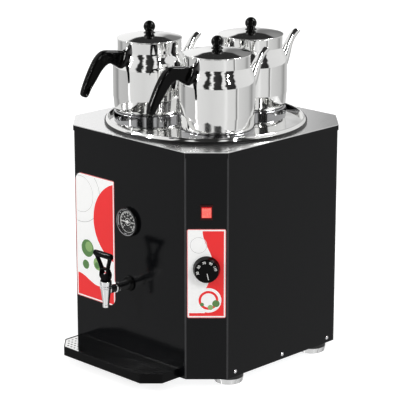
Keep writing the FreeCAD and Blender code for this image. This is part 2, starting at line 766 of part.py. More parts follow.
# ring element with two legs through the tank's floor, each held by a nut
element_z = tank_z + s.tank_wall + s.element_rise
loop = doc.addObject("Part::Torus", "element_loop")
bind(loop, "Radius1", s.element_ring)
bind(loop, "Radius2", s.element_rod)
bind(loop, "Angle3", 360 - s.element_gap)
place(loop, (0, 0, element_z), Rotation(UP, 100))
loop.setExpression("Placement.Rotation.Angle", "90 + Sizes.element_gap / 2")
pieces = [loop]
leg_low = tank_z - s.element_leg
for side in (-1, 1):
    pieces.append(rod("element_leg", s.element_rod, element_z - leg_low,
                      (leg_x * side, leg_y, leg_low)))
    pieces.append(ball("element_elbow", s.element_rod + 0.4, (leg_x * side, leg_y, element_z)))
node(fuse("heating_element", pieces), "heating_element")
nuts = body("element_nuts")
face = draw(nuts, "XY", tank_z - s.element_nut_height)
for side in (-1, 1):
    hexagon(face, leg_x * side, leg_y, s.element_nut)
    ring(face, leg_x * side, leg_y, s.element_rod + s.element_play)
pad(nuts, face, s.element_nut_height)

limit = turned("limit_thermostat", [
    (0, 0), (s.limit_body, 0), (s.limit_body, s.limit_height - 4),
    (s.limit_radius, s.limit_height - 4), (s.limit_radius, s.limit_height),
    (0, s.limit_height)], (s.limit_x, -40, tank_z - s.limit_height))
blades = draw(limit, "XY", -8)
for side in (-1, 1):
    rectangle(blades, side * 5 - 0.4, side * 5 + 0.4, -3, 3)
pad(limit, blades, 10)

terminals = body("terminal_block", (s.block_x, s.casing_half - s.block_inset,
                                   base + s.pan_floor))
pad(terminals, rectangle(draw(terminals, "XY"), -s.block_length / 2, s.block_length / 2,
                         -s.block_depth / 2, s.block_depth / 2), s.block_height)
wells = draw(terminals, "XY", s.block_height + 1)
for side in (-1, 0, 1):
    for row in (-1, 1):
        ring(wells, s.block_length * 0.3 * side, s.block_depth * 0.25 * row, 3)
pocket(terminals, wells, 8)

gland = turned("cable_gland", [
    (s.gland_bore, -12), (s.gland_thread, -12), (s.gland_thread, 0), (11.2, 0), (11.2, 5),
    (11, 5), (11, 16), (9, 19), (6, 20), (s.gland_bore, 20)],
    (s.gland_x, s.casing_half + s.panel_sheet, gland_z), REAR)
nut = draw(gland, "XY")
hexagon(nut, 0, 0, 13)
ring(nut, 0, 0, s.gland_thread - 1)
pad(gland, nut, 5)

# pan head screws: six in the sides, eight in the rear panel
screw = turned("casing_screw", [
    (0, -s.screw_length), (s.screw_radius, -s.screw_length), (s.screw_radius, 0),
    (s.screw_head, 0), (s.screw_head, s.screw_head_height * 0.5),
    (s.screw_head * 0.6, s.screw_head_height), (0, s.screw_head_height)], kept=False)
spots = []
for y, z in side_spots:
    spots.append(((s.casing_half, y, z), Rotation(Vector(0, 1, 0), 90)))
    spots.append(((-s.casing_half, y, z), Rotation(Vector(0, 1, 0), -90)))
for x, z in rear_spots:
    spots.append(((x, s.casing_half + s.panel_sheet, z), REAR))
copies("casing_screws", screw, spots)

# domed feet and their bolts
foot = turned("foot", [
    (0, 0), (s.foot_face, 0), (s.foot_face + 2.4, 1, 2.6, "left"),
    (s.foot_radius, s.foot_height * 0.45), (s.foot_radius, s.foot_height - 2),
    (s.foot_radius - 2, s.foot_height, 2, "left"),
    (s.bolt_radius + 0.05, s.foot_height),
    (s.bolt_radius + 0.05, s.foot_height - s.bolt_grip), (0, s.foot_height - s.bolt_grip)],
    kept=False)
copies("feet", foot, [((x, y, 0), None) for x, y in foot_spots])
bolt = body("foot_bolt", kept=False)
shank = draw(bolt, "XY", base - s.bolt_grip)
pad(bolt, ring(shank, 0, 0, s.bolt_radius), s.bolt_grip + s.pan_floor)
pad(bolt, hexagon(draw(bolt, "XY", base + s.pan_floor), 0, 0, s.bolt_head), s.bolt_head_height)
copies("foot_bolts", bolt, [((x, y, 0), None) for x, y in foot_spots])

# thermostat behind the cut corner, its bulb on the tank, its shaft and knob
stat_at = (corner_mid, -corner_mid, knob_z)
stat = body("thermostat_body", stat_at, CORNER)
face = draw(stat, "XZ", -s.casing_sheet - s.stat_depth)
rectangle(face, -s.stat_side / 2, s.stat_side / 2, -s.stat_side / 2, s.stat_side / 2)
ring(face, 0, 0, s.shaft_radius + s.shaft_play)
pad(stat, face, s.stat_depth)
bulb_far = s.tank_radius + s.bulb_gap + s.bulb_radius
bulb_z = bend_z - s.bulb_drop - s.bulb_length
pipe_far = corner_far - s.casing_sheet - s.stat_depth / 2
spot = lambda far, z: (far * DIAGONAL, -far * DIAGONAL, z)
bulb = fuse("thermostat_bulb", [
    rod("bulb", s.bulb_radius, s.bulb_length, spot(bulb_far, bulb_z)),
    rod("riser", s.capillary, s.bulb_drop + 1,
        spot(bulb_far, bulb_z + s.bulb_length - 1)),
    ball("bend", s.capillary * 1.2, spot(bulb_far, bend_z)),
    rod("run", s.capillary, pipe_far - bulb_far, spot(bulb_far, bend_z), CORNER_FRONT),
    ball("bend", s.capillary * 1.2, spot(pipe_far, bend_z)),
    rod("entry", s.capillary, 10, spot(pipe_far, bend_z))])
node(bulb, "thermostat_bulb")
knob_top = s.knob_gap + s.knob_height
shaft_top = knob_top - 2.2
turned("thermostat_shaft", [
    (0, -s.shaft_tail), (s.shaft_radius, -s.shaft_tail), (s.shaft_radius, shaft_top),
    (0, shaft_top)], stat_at, CORNER_FRONT)
turned("thermostat_knob", [
    (s.shaft_radius, s.knob_gap), (8, s.knob_gap), (8, knob_top - 2.7),
    (s.knob_face - 2.4, knob_top - 2.7), (s.knob_radius - 2.6, s.knob_gap),
    (s.knob_radius, s.knob_gap), (s.knob_radius, s.knob_gap + 2.3),
    (s.knob_face + 0.9, knob_top - 1.2), (s.knob_face - 0.4, knob_top, 1.5, "left"),
    (0, knob_top), (0, shaft_top), (s.shaft_radius, shaft_top)], stat_at, CORNER_FRONT)

# rocker switch: bezel on the panel, box behind it, rocker on two stub pins
switch_at = (corner_mid, -corner_mid, switch_z)
housing = body("switch_housing", switch_at, CORNER)
face = draw(housing, "XZ")
rectangle(face, -s.bezel_width / 2, s.bezel_width / 2, -s.bezel_height / 2, s.bezel_height / 2)
pad(housing, face, s.bezel_thick)
face = draw(housing, "XZ", -s.switch_depth)
rectangle(face, -s.switch_width / 2, s.switch_width / 2, -s.switch_height / 2,
          s.switch_height / 2)
pad(housing, face, s.switch_depth)
slot_x = s.rocker_width / 2 + s.rocker_play
slot_z = s.rocker_radius + s.rocker_play
face = draw(housing, "XZ", -s.switch_depth + 8)
rectangle(face, -slot_x, slot_x, -slot_z, slot_z)
step = pocket(housing, face, s.switch_depth - 8 + s.bezel_thick + 1)
step.Reversed = True
pocket(housing, ring(draw(housing, "YZ"), 0, 0, s.rocker_pin + s.pin_play),
       s.switch_width + 2, both=True)
rocker = body("switch_rocker", switch_at, CORNER)
lift = 5.4
back = 5.0
edge = root(s.rocker_radius * s.rocker_radius - lift * lift)
heel = root(s.rocker_radius * s.rocker_radius - back * back)
face = draw(rocker, "YZ", turn=Rotation(Vector(0, 0, -1), sheet.rocker_tilt))
face.setExpression("AttachmentOffset.Rotation.Angle", "Sizes.rocker_tilt")
outline(face, [(-4.2, 0), (-lift, -edge), (0, -s.rocker_radius, s.rocker_radius, "left"),
               (back, -heel, s.rocker_radius, "left"), (back, heel),
               (0, s.rocker_radius, s.rocker_radius, "left"),
               (-lift, edge, s.rocker_radius, "left")])
pad(rocker, face, s.rocker_width, both=True)
pad(rocker, ring(draw(rocker, "YZ"), 0, 0, s.rocker_pin), s.switch_width - 0.4, both=True)

# printed labels on the cut corner and on the front
label = body("control_label", (corner_mid, -corner_mid, base + s.corner_label_low), CORNER)
face = draw(label, "XZ")
wide = s.corner_label_width / 2
tall = s.corner_label_height
nip = s.corner_label_round
outline(face, [
    (nip - wide, 0, nip, "left"), (wide - nip, 0), (wide, nip, nip, "left"),
    (wide, tall - nip), (wide - nip, tall, nip, "left"), (nip - wide, tall),
    (-wide, tall - nip, nip, "left"), (-wide, nip)])
ring(face, 0, s.knob_rise - s.corner_label_low, s.label_shaft_hole)
pad(label, face, s.label_thick)
left = s.front_label_inset + s.corner_cut - s.casing_half
right = left + s.front_label_width
tall = s.front_label_height
label = body("front_label", (0, -s.casing_half, base + s.front_label_low))
face = draw(label, "XZ")
large = s.front_label_round
nip = s.front_label_nip
outline(face, [
    (left + nip, 0, nip, "left"), (right - large, 0), (right, large, large, "left"),
    (right, tall - nip), (right - nip, tall, nip, "left"), (left + large, tall),
    (left, tall - large, large, "left"), (left, nip)])
pad(label, face, s.label_thick)

# dial thermometer in the front, its stem in the tank's boss
meter_at = (0, -s.casing_half, meter_z)
stem_tail = s.casing_half - s.tank_radius + s.boss_root
glass_z = s.meter_floor + s.glass_seat
turned("thermometer_case", [
    (0, -stem_tail), (s.meter_stem, -stem_tail), (s.meter_stem, -s.meter_back),
    (s.meter_barrel, -s.meter_back), (s.meter_barrel, 0), (s.meter_bezel, 0),
    (s.meter_bezel, s.meter_out - 3), (s.meter_bezel - 3, s.meter_out, 3, "left"),
    (s.glass_radius + 0.2, s.meter_out), (s.glass_radius + 0.2, glass_z),
    (s.meter_window, glass_z), (s.meter_window, s.meter_floor), (0, s.meter_floor)],
    meter_at, FRONT)
dial_z = s.meter_floor + s.dial_thick
dial = body("thermometer_dial", meter_at, FRONT)
face = draw(dial, "XY", s.meter_floor)
ring(face, 0, 0, s.dial_radius)
ring(face, 0, 0, s.needle_pivot + s.pin_play)
pad(dial, face, s.dial_thick)
glass = body("thermometer_glass", meter_at, FRONT)
pad(glass, ring(draw(glass, "XY", glass_z), 0, 0, s.glass_radius), s.glass_thick)
needle = body("thermometer_needle", meter_at, FRONT)
pad(needle, ring(draw(needle, "XY", s.meter_floor + 0.05), 0, 0, s.needle_pivot), 2)
pad(needle, ring(draw(needle, "XY", dial_z + 0.4), 0, 0, s.needle_hub), 1.2)
hand = draw(needle, "XY", dial_z + 0.6)
outline(hand, [(6, -1), (6, 1), (-s.needle_length, 0.4), (-s.needle_length, -0.4)])
pad(needle, hand, 0.6)

# tap: shank through panel and tank wall, nut inside, rosette outside
shank_tip = -s.casing_half - s.shank_out
shank = body("tap_shank", (0, shank_tip, tap_z), REAR)
face = draw(shank, "XY")
ring(face, 0, 0, s.shank_radius)
ring(face, 0, 0, s.tap_bore)
pad(shank, face, s.shank_out + s.casing_half - s.tank_radius + s.boss_root)
locknut = body("tap_locknut", (0, s.casing_sheet - s.casing_half, tap_z), REAR)
face = draw(locknut, "XY")
hexagon(face, 0, 0, s.locknut_corner)
ring(face, 0, 0, s.shank_radius + s.shank_play)
pad(locknut, face, s.locknut_height)
turned("tap_flange", [
    (s.shank_radius + s.shank_play, 0), (s.rosette_radius, 0), (s.rosette_radius, 1.5),
    (s.rosette_radius - 2.5, s.rosette_thick, 2.6, "left"),
    (s.shank_radius + s.shank_play, s.rosette_thick)], (0, -s.casing_half, tap_z), FRONT)
tap_at = (0, -s.casing_half - s.tap_reach, tap_z)
tap_arm = s.tap_reach - s.shank_out
top = s.tap_top_radius
tap = turned("tap_body", [
    (0, -s.tap_drop), (s.tap_tip_radius - 0.6, -s.tap_drop),
    (s.tap_tip_radius, 0.6 - s.tap_drop), (top - 3.2, -12), (top - 0.9, 4.5), (top - 0.6, 5),
    (top - 0.6, 7), (top - 1.5, 7.4), (top - 1.5, 8.6), (top - 0.4, 9), (top, 11),
    (top, s.tap_head), (0, s.tap_head)], tap_at)
pad(tap, ring(draw(tap, "XZ", -tap_arm), 0, 0, s.tap_arm), tap_arm)
pocket(tap, ring(draw(tap, "XY", s.tap_head + 1), 0, 0, s.tap_chamber),
       s.tap_head + 1 + s.tap_seat)
pocket(tap, ring(draw(tap, "XY"), 0, 0, s.tap_bore), s.tap_drop + 1)
pocket(tap, ring(draw(tap, "XZ", 1.5 - s.tap_chamber), 0, 0, s.tap_bore), tap_arm)
head_at = (0, -s.casing_half - s.tap_reach, tap_z + s.tap_head)
bonnet = body("tap_bonnet", head_at)
pad(bonnet, ring(draw(bonnet, "XY"), 0, 0, s.bonnet_radius), s.bonnet_flange)
face = draw(bonnet, "XY")
rectangle(face, -s.post_x, s.post_x, -s.post_y, s.post_y)
pad(bonnet, face, s.post_height)
pocket(bonnet, ring(draw(bonnet, "XY", s.post_height + 1), 0, 0, s.stem_radius + s.stem_room),
       s.post_height + 2)
pocket(bonnet, ring(draw(bonnet, "YZ"), 0, s.pivot_height, s.lever_pin + 0.02),
       s.post_x * 2 + 2, both=True)
cup_low = s.cup_gap - s.tap_seat
cup_top = cup_low + s.cup_height
button_z = s.tap_head + s.post_height + s.button_gap
turned("tap_stem", [
    (0, cup_low + 4), (s.stem_radius, cup_low + 4), (s.stem_radius, button_z),
    (s.button_radius, button_z), (s.button_radius, button_z + 1.1),
    (s.button_radius - 0.6, button_z + 1.7), (0, button_z + 1.7)], tap_at)
cup_side = s.tap_chamber - s.cup_play
turned("tap_seat_cup", [
    (0, cup_low), (cup_side - 1, cup_low), (cup_side, cup_low + 1), (cup_side, cup_top - 3),
    (cup_side - 3, cup_top), (s.stem_radius, cup_top), (s.stem_radius, cup_low + 4),
    (0, cup_low + 4)], tap_at)
pin_in = s.stem_radius + s.stem_room + 0.3
pin_out = s.post_x + s.cheek_gap + s.cheek_thick + 0.8
pins = body("tap_lever_pin", (0, -s.casing_half - s.tap_reach, tap_z + s.tap_head
                              + s.pivot_height))
pad(pins, ring(draw(pins, "YZ", pin_in), 0, 0, s.lever_pin), pin_out - pin_in)
pad(pins, ring(draw(pins, "YZ", -pin_out), 0, 0, s.lever_pin), pin_out - pin_in)

# forked lever with a cross bar, leaning forward
lever = body("tap_lever", (0, -s.casing_half - s.tap_reach, tap_z + s.tap_head
                           + s.pivot_height), Rotation(Vector(1, 0, 0), 7.4))
lever.setExpression("Placement.Rotation.Angle", "Sizes.lever_lean")
cheek_in = s.post_x + s.cheek_gap
cheek_out = cheek_in + s.cheek_thick
crotch = s.lever_crotch
neck = crotch + s.lever_bridge
bar_low = neck + s.lever_fork - 5
bar_mid = bar_low + 5
face = draw(lever, "XZ")
outline(face, [
    (cheek_out, 0), (cheek_out, 10), (s.bar_length / 2 - 4.5, bar_low - 5.5),
    (s.bar_length / 2, bar_low), (s.bar_length / 2, bar_mid + 5),
    (-s.bar_length / 2, bar_mid + 5), (-s.bar_length / 2, bar_low),
    (4.5 - s.bar_length / 2, bar_low - 5.5), (-cheek_out, 10), (-cheek_out, 0),
    (-cheek_in, 0), (-cheek_in, crotch), (cheek_in, crotch), (cheek_in, 0)])
outline(face, [
    (6, neck), (s.bar_length / 2 - 11, bar_low - 4.5), (s.bar_length / 2 - 10.5, bar_low),
    (10.5 - s.bar_length / 2, bar_low), (11 - s.bar_length / 2, bar_low - 4.5), (-6, neck)])
pad(lever, face, s.lever_thick, both=True)
pad(lever, ring(draw(lever, "YZ"), 0, bar_mid, s.bar_radius), s.bar_length, both=True)
pad(lever, ring(draw(lever, "YZ", cheek_in), 0, 0, s.cheek_radius), s.cheek_thick)
pad(lever, ring(draw(lever, "YZ", -cheek_out), 0, 0, s.cheek_radius), s.cheek_thick)
pocket(lever, ring(draw(lever, "YZ"), 0, 0, s.lever_pin + s.pin_play),
       cheek_out * 2 + 4, both=True)

# drip tray on two arms under the cabinet, with a drilled grid in its rim
tray_y = -s.casing_half - s.tray_gap


def tray_points(inset):
    side = s.tray_width / 2 - inset
    far = tray_y - s.tray_depth + inset
    skew = s.tray_cut - inset * NIP
    return [(-side, tray_y - inset), (-side, far + skew), (skew - side, far),
            (side - skew, far), (side, far + skew), (side, tray_y - inset)]


tray = body("drip_tray")
pad(tray, outline(draw(tray, "XY", base), tray_points(Size(0))), s.tray_height)
pocket(tray, outline(draw(tray, "XY", base + s.tray_height + 1), tray_points(s.tray_rim)),
       s.tray_lip + 1)
pocket(tray, outline(draw(tray, "XY", base + s.tray_height + 1), tray_points(s.tray_wall)),
       s.tray_height - s.tray_floor + 1)
grid_z = base + s.tray_height - s.tray_lip
grid = body("drip_grid", (0, tray_y, grid_z))
face = draw(grid, "XY")
inset = s.tray_rim + s.grid_gap
outline(face, [(x, y - tray_y) for x, y in tray_points(inset)])
pad(grid, face, s.grid_thick)
room = sheet.tray_width / 2 - sheet.tray_wall - sheet.grid_hole - 2
depth = sheet.tray_depth - 2 * sheet.tray_wall - 2 * sheet.grid_hole - 2
columns = int(2 * room / sheet.grid_pitch)
rows = int(depth / sheet.grid_pitch) + 1
for row in range(rows):
    face = draw(grid, "XY", s.grid_thick + 1)
    y = s.grid_pitch * ((rows - 1) / 2 - row) - s.tray_depth / 2
    for column in range(columns + 1):
        x = s.grid_pitch * (column - columns / 2)
        reach = abs(x.value) + abs(y.value) + sheet.grid_hole + sheet.tray_wall + 3
        if reach < sheet.tray_width / 2 + sheet.tray_depth - sheet.tray_cut:
            ring(face, x, y, s.grid_hole)
    pocket(grid, face, s.grid_thick + 2)
arms = body("tray_arms")
face = draw(arms, "XY", base - s.arm_thick)
for side in (-1, 1):
    mid = s.arm_x * side
    rectangle(face, mid - s.arm_width / 2, mid + s.arm_width / 2, -s.casing_half - s.arm_out,
              s.arm_in - s.casing_half)
pad(arms, face, s.arm_thick)

# round tank lid: tray with a rolled rim, a spigot in the tank, three steam holes
rim_z = lid_floor + s.lid_rim - s.lid_sheet
lid_in = s.lid_inner
lid_out = s.lid_radius
spigot = tank_inner - s.spigot_gap
tank_lid = turned("tank_lid", [
    (0, plate_top), (spigot - s.spigot_wall, plate_top),
    (spigot - s.spigot_wall, plate_top - s.spigot_depth), (spigot, plate_top - s.spigot_depth),
    (spigot, plate_top), (lid_out - 1, plate_top), (lid_out, plate_top + 1, 1, "left"),
    (lid_out, plate_top + 2.5), (lid_out - 3.4, rim_z - 1.6, 16, "left"),
    (lid_out - 5.4, rim_z, 2.1, "left"), (lid_in + 1, rim_z),
    (lid_in, rim_z - 1, 1, "left"), (lid_in, lid_floor), (0, lid_floor)])
pot_spots = [(s.pot_ring * cosine(s.pot_first + 120 * step),
              s.pot_ring * sine(s.pot_first + 120 * step)) for step in range(3)]
holes = draw(tank_lid, "XY", lid_floor + 1)
for x, y in pot_spots:
    ring(holes, x, y, s.steam_hole)
pocket(tank_lid, holes, s.lid_sheet + 2)

# collars with a lip turned inward, one under each teapot
far = s.collar_radius
tall = s.collar_height
collar = turned("collar", [
    (far - s.collar_sheet, 0), (far, 0), (far, tall - 2), (far - 2, tall, 2, "left"),
    (s.collar_lip + 0.7, tall), (s.collar_lip, tall - 0.7, 0.7, "left"),
    (s.collar_lip, tall - s.collar_sheet), (far - s.collar_sheet, tall - s.collar_sheet)],
    kept=False)
copies("seat_collars", collar, [((x, y, lid_floor), None) for x, y in pot_spots])

# teapot form: heel, slight taper, straight side, shoulder and throat
side = s.pot_radius
out = s.shoulder_out
throat = s.shoulder_in
turn_r = side - out * (1 - math.cos(math.radians(30)))
turn_z = s.pot_side + out * 0.5
neck_r = turn_r - throat * (1 - math.cos(math.radians(30)))
neck_z = turn_z + throat * 0.5
heel = s.pot_heel
wall = s.pot_wall
shell = [
    (s.pot_base, 0), (s.pot_base + heel, heel, heel, "left"),
    (side, s.pot_waist), (side, s.pot_side), (turn_r, turn_z, out, "left"),
    (neck_r, neck_z, throat, "right")]
inward = math.cos(math.radians(30))
hollow = [
    (neck_r - wall, neck_z),
    (turn_r - wall * inward, turn_z - wall * 0.5, throat + wall, "left"),
    (side - wall, s.pot_side, out - wall, "right"), (side - wall, s.pot_waist),
    (s.pot_base + heel - wall, heel), (s.pot_base, wall, heel - wall, "right")]
bead = s.rim_bead
pot_form = turned("pot", [(0, 0)] + shell + [(neck_r, s.pot_height), (0, s.pot_height)],
                  kept=False)
pot_shell = turned("pot_shell", [(0, 0)] + shell + [
    (neck_r, s.pot_height - 2 * bead), (neck_r + bead, s.pot_height - bead, bead, "left"),
    (neck_r, s.pot_height, bead, "left"), (neck_r - wall, s.pot_height)] + hollow
    + [(0, wall)], kept=False)

# swan neck spout: sections from the root to the mouth, hollow, cut back to the pot's side
SPOUT = [(0, 0, 17, 40), (24, 20, 15, 50), (37, 43, 12, 62), (47, 63, 9, 60),
         (58, 78, 8, 47), (71.5, 88.5, 7, 65)]


FAR = SPOUT[-1][0]


def spout(name, thinner):
    rings = []
    for step, (x, z, radius, angle) in enumerate(SPOUT):
        hoop = doc.addObject("Part::Circle", name + "_ring")
        bind(hoop, "Radius", radius - thinner)
        slope = math.radians(angle)
        over = 0
        if thinner is not None and Size.of(thinner).value and step in (0, len(SPOUT) - 1):
            over = 2 if step else -2
        at = (side - 18 + s.spout_reach * (x / FAR) + over * math.cos(slope), 0,
              s.spout_low + s.spout_reach * (z / FAR) + over * math.sin(slope))
        place(hoop, at, Rotation(Vector(0, 1, 0), 90 - angle))
        rings.append(hoop)
    item = doc.addObject("Part::Loft", name)
    item.Sections = rings
    item.Solid = True
    item.Ruled = False
    return item


spout_solid = spout("spout_outside", Size(0))
spout_hole = spout("spout_inside", s.spout_wall)
spout_tube = cut("spout_tube", spout_solid, spout_hole)
pot_spout = cut("pot_spout", spout_tube, pot_form)
drill = rod("spout_drill", s.pot_hole, 40, (side - 22, 0, s.spout_low), Rotation(Vector(0, 1, 0), 50))
pot_body = cut("pot_body", pot_shell, drill)

# handle: one curve round the grip, closed by the slanted root along the teapot's shoulder
GRIP = [(18, 41), (33, 42.5), (45, 39.5), (58, 29), (71, 10), (85, -17), (93.5, -38),
        (93, -45.5), (87, -49.5), (80.5, -47), (72, -33), (59, -16), (45, 2), (33, 11.5),
        (23, 14), (13, 9.5)]
pot_handle = body("pot_handle", kept=False)
face = draw(pot_handle, "XZ")
grow = sheet.handle_reach / 93.5
upper = Vector(sheet.handle_root_high - s.handle_out.value, sheet.handle_low + 37 * grow, 0)
lower = Vector(sheet.handle_root_low - s.handle_out.value, sheet.handle_low, 0)
curve = Part.BSplineCurve()
curve.interpolate([upper] + [
    Vector(-s.handle_out.value - x * grow, sheet.handle_low + z * grow, 0) for x, z in GRIP]
    + [lower])
strand = face.addGeometry(curve, False)
line = face.addGeometry(Part.LineSegment(lower, upper), False)
apply(face, [(Sketcher.Constraint("Block", strand), None),
             (Sketcher.Constraint("Coincident", line, 1, strand, 2), None),
             (Sketcher.Constraint("Coincident", line, 2, strand, 1), None)])
slab = pad(pot_handle, face, s.handle_width, both=True)
doc.recompute()
rims = []
for number, edge in enumerate(slab.Shape.Edges, 1):
    box = edge.BoundBox
    if box.YMax - box.YMin < 0.01 and edge.Curve.TypeId != "Part::GeomLine":
        rims.append("Edge%d" % number)
smooth = pot_handle.newObject("PartDesign::Fillet", "pot_handle_fillet")
smooth.Base = (slab, rims)
bind(smooth, "Radius", s.handle_round)
pot_handle.Tip = smooth

# bracket between the teapot's side and the handle's root
bracket_box = block("bracket_box", s.handle_out - neck_r + 8, s.bracket_width, s.bracket_height,
                    (-s.handle_out, -s.bracket_width / 2, s.handle_low + s.bracket_inset))
pot_bracket = cut("pot_bracket", cut("bracket_end", bracket_box, pot_form), pot_handle)

# teapot lid with a skirt, and its round knob
cover_z = s.pot_height + s.cover_gap
cover_top = cover_z + s.cover_sheet
shoulder_z = cover_top + s.cover_shoulder
crown_z = shoulder_z + s.cover_rise
skirt = neck_r - wall - s.cover_play
over = neck_r + s.cover_lap
bend_in = over - 8.7
bend = (7.5 * 7.5 + s.cover_shoulder * s.cover_shoulder) / (s.cover_shoulder * 2)
crown = (bend_in * bend_in + s.cover_rise * s.cover_rise) / (s.cover_rise * 2)
pot_lid = turned("pot_lid", [
    (0, crown_z), (s.grip_base + 0.2, crown_z), (bend_in, shoulder_z, crown, "right"),
    (over - 1.2, cover_top, bend, "right"), (over - 0.5, cover_top),
    (over, cover_top - 0.5, 0.5, "right"), (over, cover_z), (skirt, cover_z),
    (skirt, cover_z - s.cover_skirt), (skirt - s.cover_sheet, cover_z - s.cover_skirt),
    (skirt - s.cover_sheet, shoulder_z - s.cover_sheet - 1.4),
    (bend_in, shoulder_z - s.cover_sheet),
    (s.grip_base, crown_z - s.cover_sheet, crown, "left"), (0, crown_z - s.cover_sheet)],
    kept=False)
ball_z = s.grip_height - s.grip_ball
neck_at = ball_z - root(s.grip_ball * s.grip_ball - s.grip_neck * s.grip_neck)
lid_knob = turned("lid_knob", [
    (0, 0), (s.grip_base, 0), (s.grip_base, 1.2), (s.grip_neck, neck_at, 7, "right"),
    (s.grip_ball, ball_z, s.grip_ball, "left"), (0, s.grip_height, s.grip_ball, "left")],
    kept=False)
for label, (x, y) in zip(("pot_front", "pot_back", "pot_left"), pot_spots):
    turn = s.pot_turn
    for suffix, source in (("body", pot_body), ("spout", pot_spout), ("bracket", pot_bracket),
                           ("handle", pot_handle), ("lid", pot_lid)):
        item = copies(label + "_" + suffix, source, [((x, y, pot_z), turn)])
    copies(label + "_lid_knob", lid_knob, [((x, y, pot_z + crown_z), turn)])

doc.recompute()
for item in doc.Objects:
    if "Invalid" in item.State or "Error" in item.State:
        raise RuntimeError("%s is %s" % (item.Name, item.State))
    if item.TypeId == "PartDesign::Pocket":
        if not item.Shape.Volume < item.BaseFeature.Shape.Volume - 0.01:
            raise RuntimeError("%s cuts nothing" % item.Name)
for item in nodes:
    if item.Shape.isNull() or not item.Shape.isValid() or not item.Shape.Solids:
        raise RuntimeError("%s has no valid solid" % item.Label)

os.makedirs("parts", exist_ok=True)
for item in nodes:
    item.Shape.exportStep("parts/%s.step" % item.Label)
    box = item.Shape.BoundBox
    print("%-22s %2d solids %10.1f mm3  x %7.1f %7.1f  y %7.1f %7.1f  z %6.1f %6.1f" % (
        item.Label, len(item.Shape.Solids), item.Shape.Volume, box.XMin, box.XMax, box.YMin,
        box.YMax, box.ZMin, box.ZMax))
print(len(nodes), "nodes")
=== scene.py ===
# %% [markdown]
# # A hot water urn with three teapots
#
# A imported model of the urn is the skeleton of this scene. All its parts are there in real size, in
# metres, and none is ever moved. Each step below dresses one part: it gets a finish, or a smoother
# piece stands on its spot. Front is -Y, where the tap is, and +Z is up.

# %% The frame
import json
import math

import bmesh
import bpy
from mathutils import Matrix, Vector

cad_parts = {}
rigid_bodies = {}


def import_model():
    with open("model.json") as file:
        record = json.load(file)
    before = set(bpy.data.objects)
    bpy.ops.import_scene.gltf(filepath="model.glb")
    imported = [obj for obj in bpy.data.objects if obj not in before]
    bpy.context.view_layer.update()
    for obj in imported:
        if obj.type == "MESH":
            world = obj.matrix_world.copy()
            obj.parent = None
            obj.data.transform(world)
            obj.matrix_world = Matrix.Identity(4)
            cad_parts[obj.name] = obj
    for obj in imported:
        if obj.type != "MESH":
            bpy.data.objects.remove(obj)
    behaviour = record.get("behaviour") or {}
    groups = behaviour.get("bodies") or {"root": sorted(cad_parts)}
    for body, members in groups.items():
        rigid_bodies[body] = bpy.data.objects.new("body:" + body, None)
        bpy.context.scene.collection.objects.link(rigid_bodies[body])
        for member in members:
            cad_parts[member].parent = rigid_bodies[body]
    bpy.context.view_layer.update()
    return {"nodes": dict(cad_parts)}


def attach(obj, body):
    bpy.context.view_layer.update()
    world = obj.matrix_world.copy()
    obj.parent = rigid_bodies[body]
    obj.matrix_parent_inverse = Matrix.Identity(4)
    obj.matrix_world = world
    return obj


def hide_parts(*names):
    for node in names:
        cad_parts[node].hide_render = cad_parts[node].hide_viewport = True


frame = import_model()
parts = frame["nodes"]

# %% [markdown]
# ## The camera
#
# A product shot is taken from far away with a long lens, so that upright edges stay upright. The
# place and the lens length were worked out once from the cabinet's corners, so they are written as
# plain numbers.

# %% The camera
camera = bpy.data.objects.new("camera", bpy.data.cameras.new("camera"))
bpy.context.scene.collection.objects.link(camera)
camera.data.lens = 169.64
camera.location = (2.7216, -2.7564, 1.4215)
aim = Vector((-0.0086, -0.0086, 0.3219))
camera.rotation_euler = (aim - camera.location).to_track_quat("-Z", "Y").to_euler()
bpy.context.scene.camera = camera
bpy.context.scene.view_settings.view_transform = "Standard"
print("camera", round((aim - camera.location).length, 3), "m from the urn")

# %% [markdown]
# ## Finishes as expressions
#
# A finish is a tree of nodes. Wiring nodes one by one hides the idea behind it, so a wire can be
# used in a sum here: `1 - mask` adds the Math node that does it. Every other node comes from one
# method, which takes the kind of node, its settings and what its sockets get.


# %% Wires and finishes
class Wire:
    """The output of a node, ready to be used in sums."""

    def __init__(self, finish, socket):
        self.finish = finish
        self.socket = socket

    def maths(self, operation, *values):
        return self.finish.node("Math", {"operation": operation}, dict(enumerate(values)))

    def __add__(self, other):
        return self.maths("ADD", self, other)

    def __radd__(self, other):
        return self.maths("ADD", other, self)

    def __sub__(self, other):
        return self.maths("SUBTRACT", self, other)

    def __rsub__(self, other):
        return self.maths("SUBTRACT", other, self)

    def __mul__(self, other):
        return self.maths("MULTIPLY", self, other)

    def __rmul__(self, other):
        return self.maths("MULTIPLY", other, self)

    def __truediv__(self, other):
        return self.maths("DIVIDE", self, other)

    def __pow__(self, other):
        return self.maths("POWER", self, other)

    def __lt__(self, other):
        return self.maths("LESS_THAN", self, other)

    def __gt__(self, other):
        return self.maths("GREATER_THAN", self, other)

    def __abs__(self):
        return self.maths("ABSOLUTE", self)

    def least(self, other):
        return self.maths("MINIMUM", self, other)

    def most(self, other):
        return self.maths("MAXIMUM", self, other)


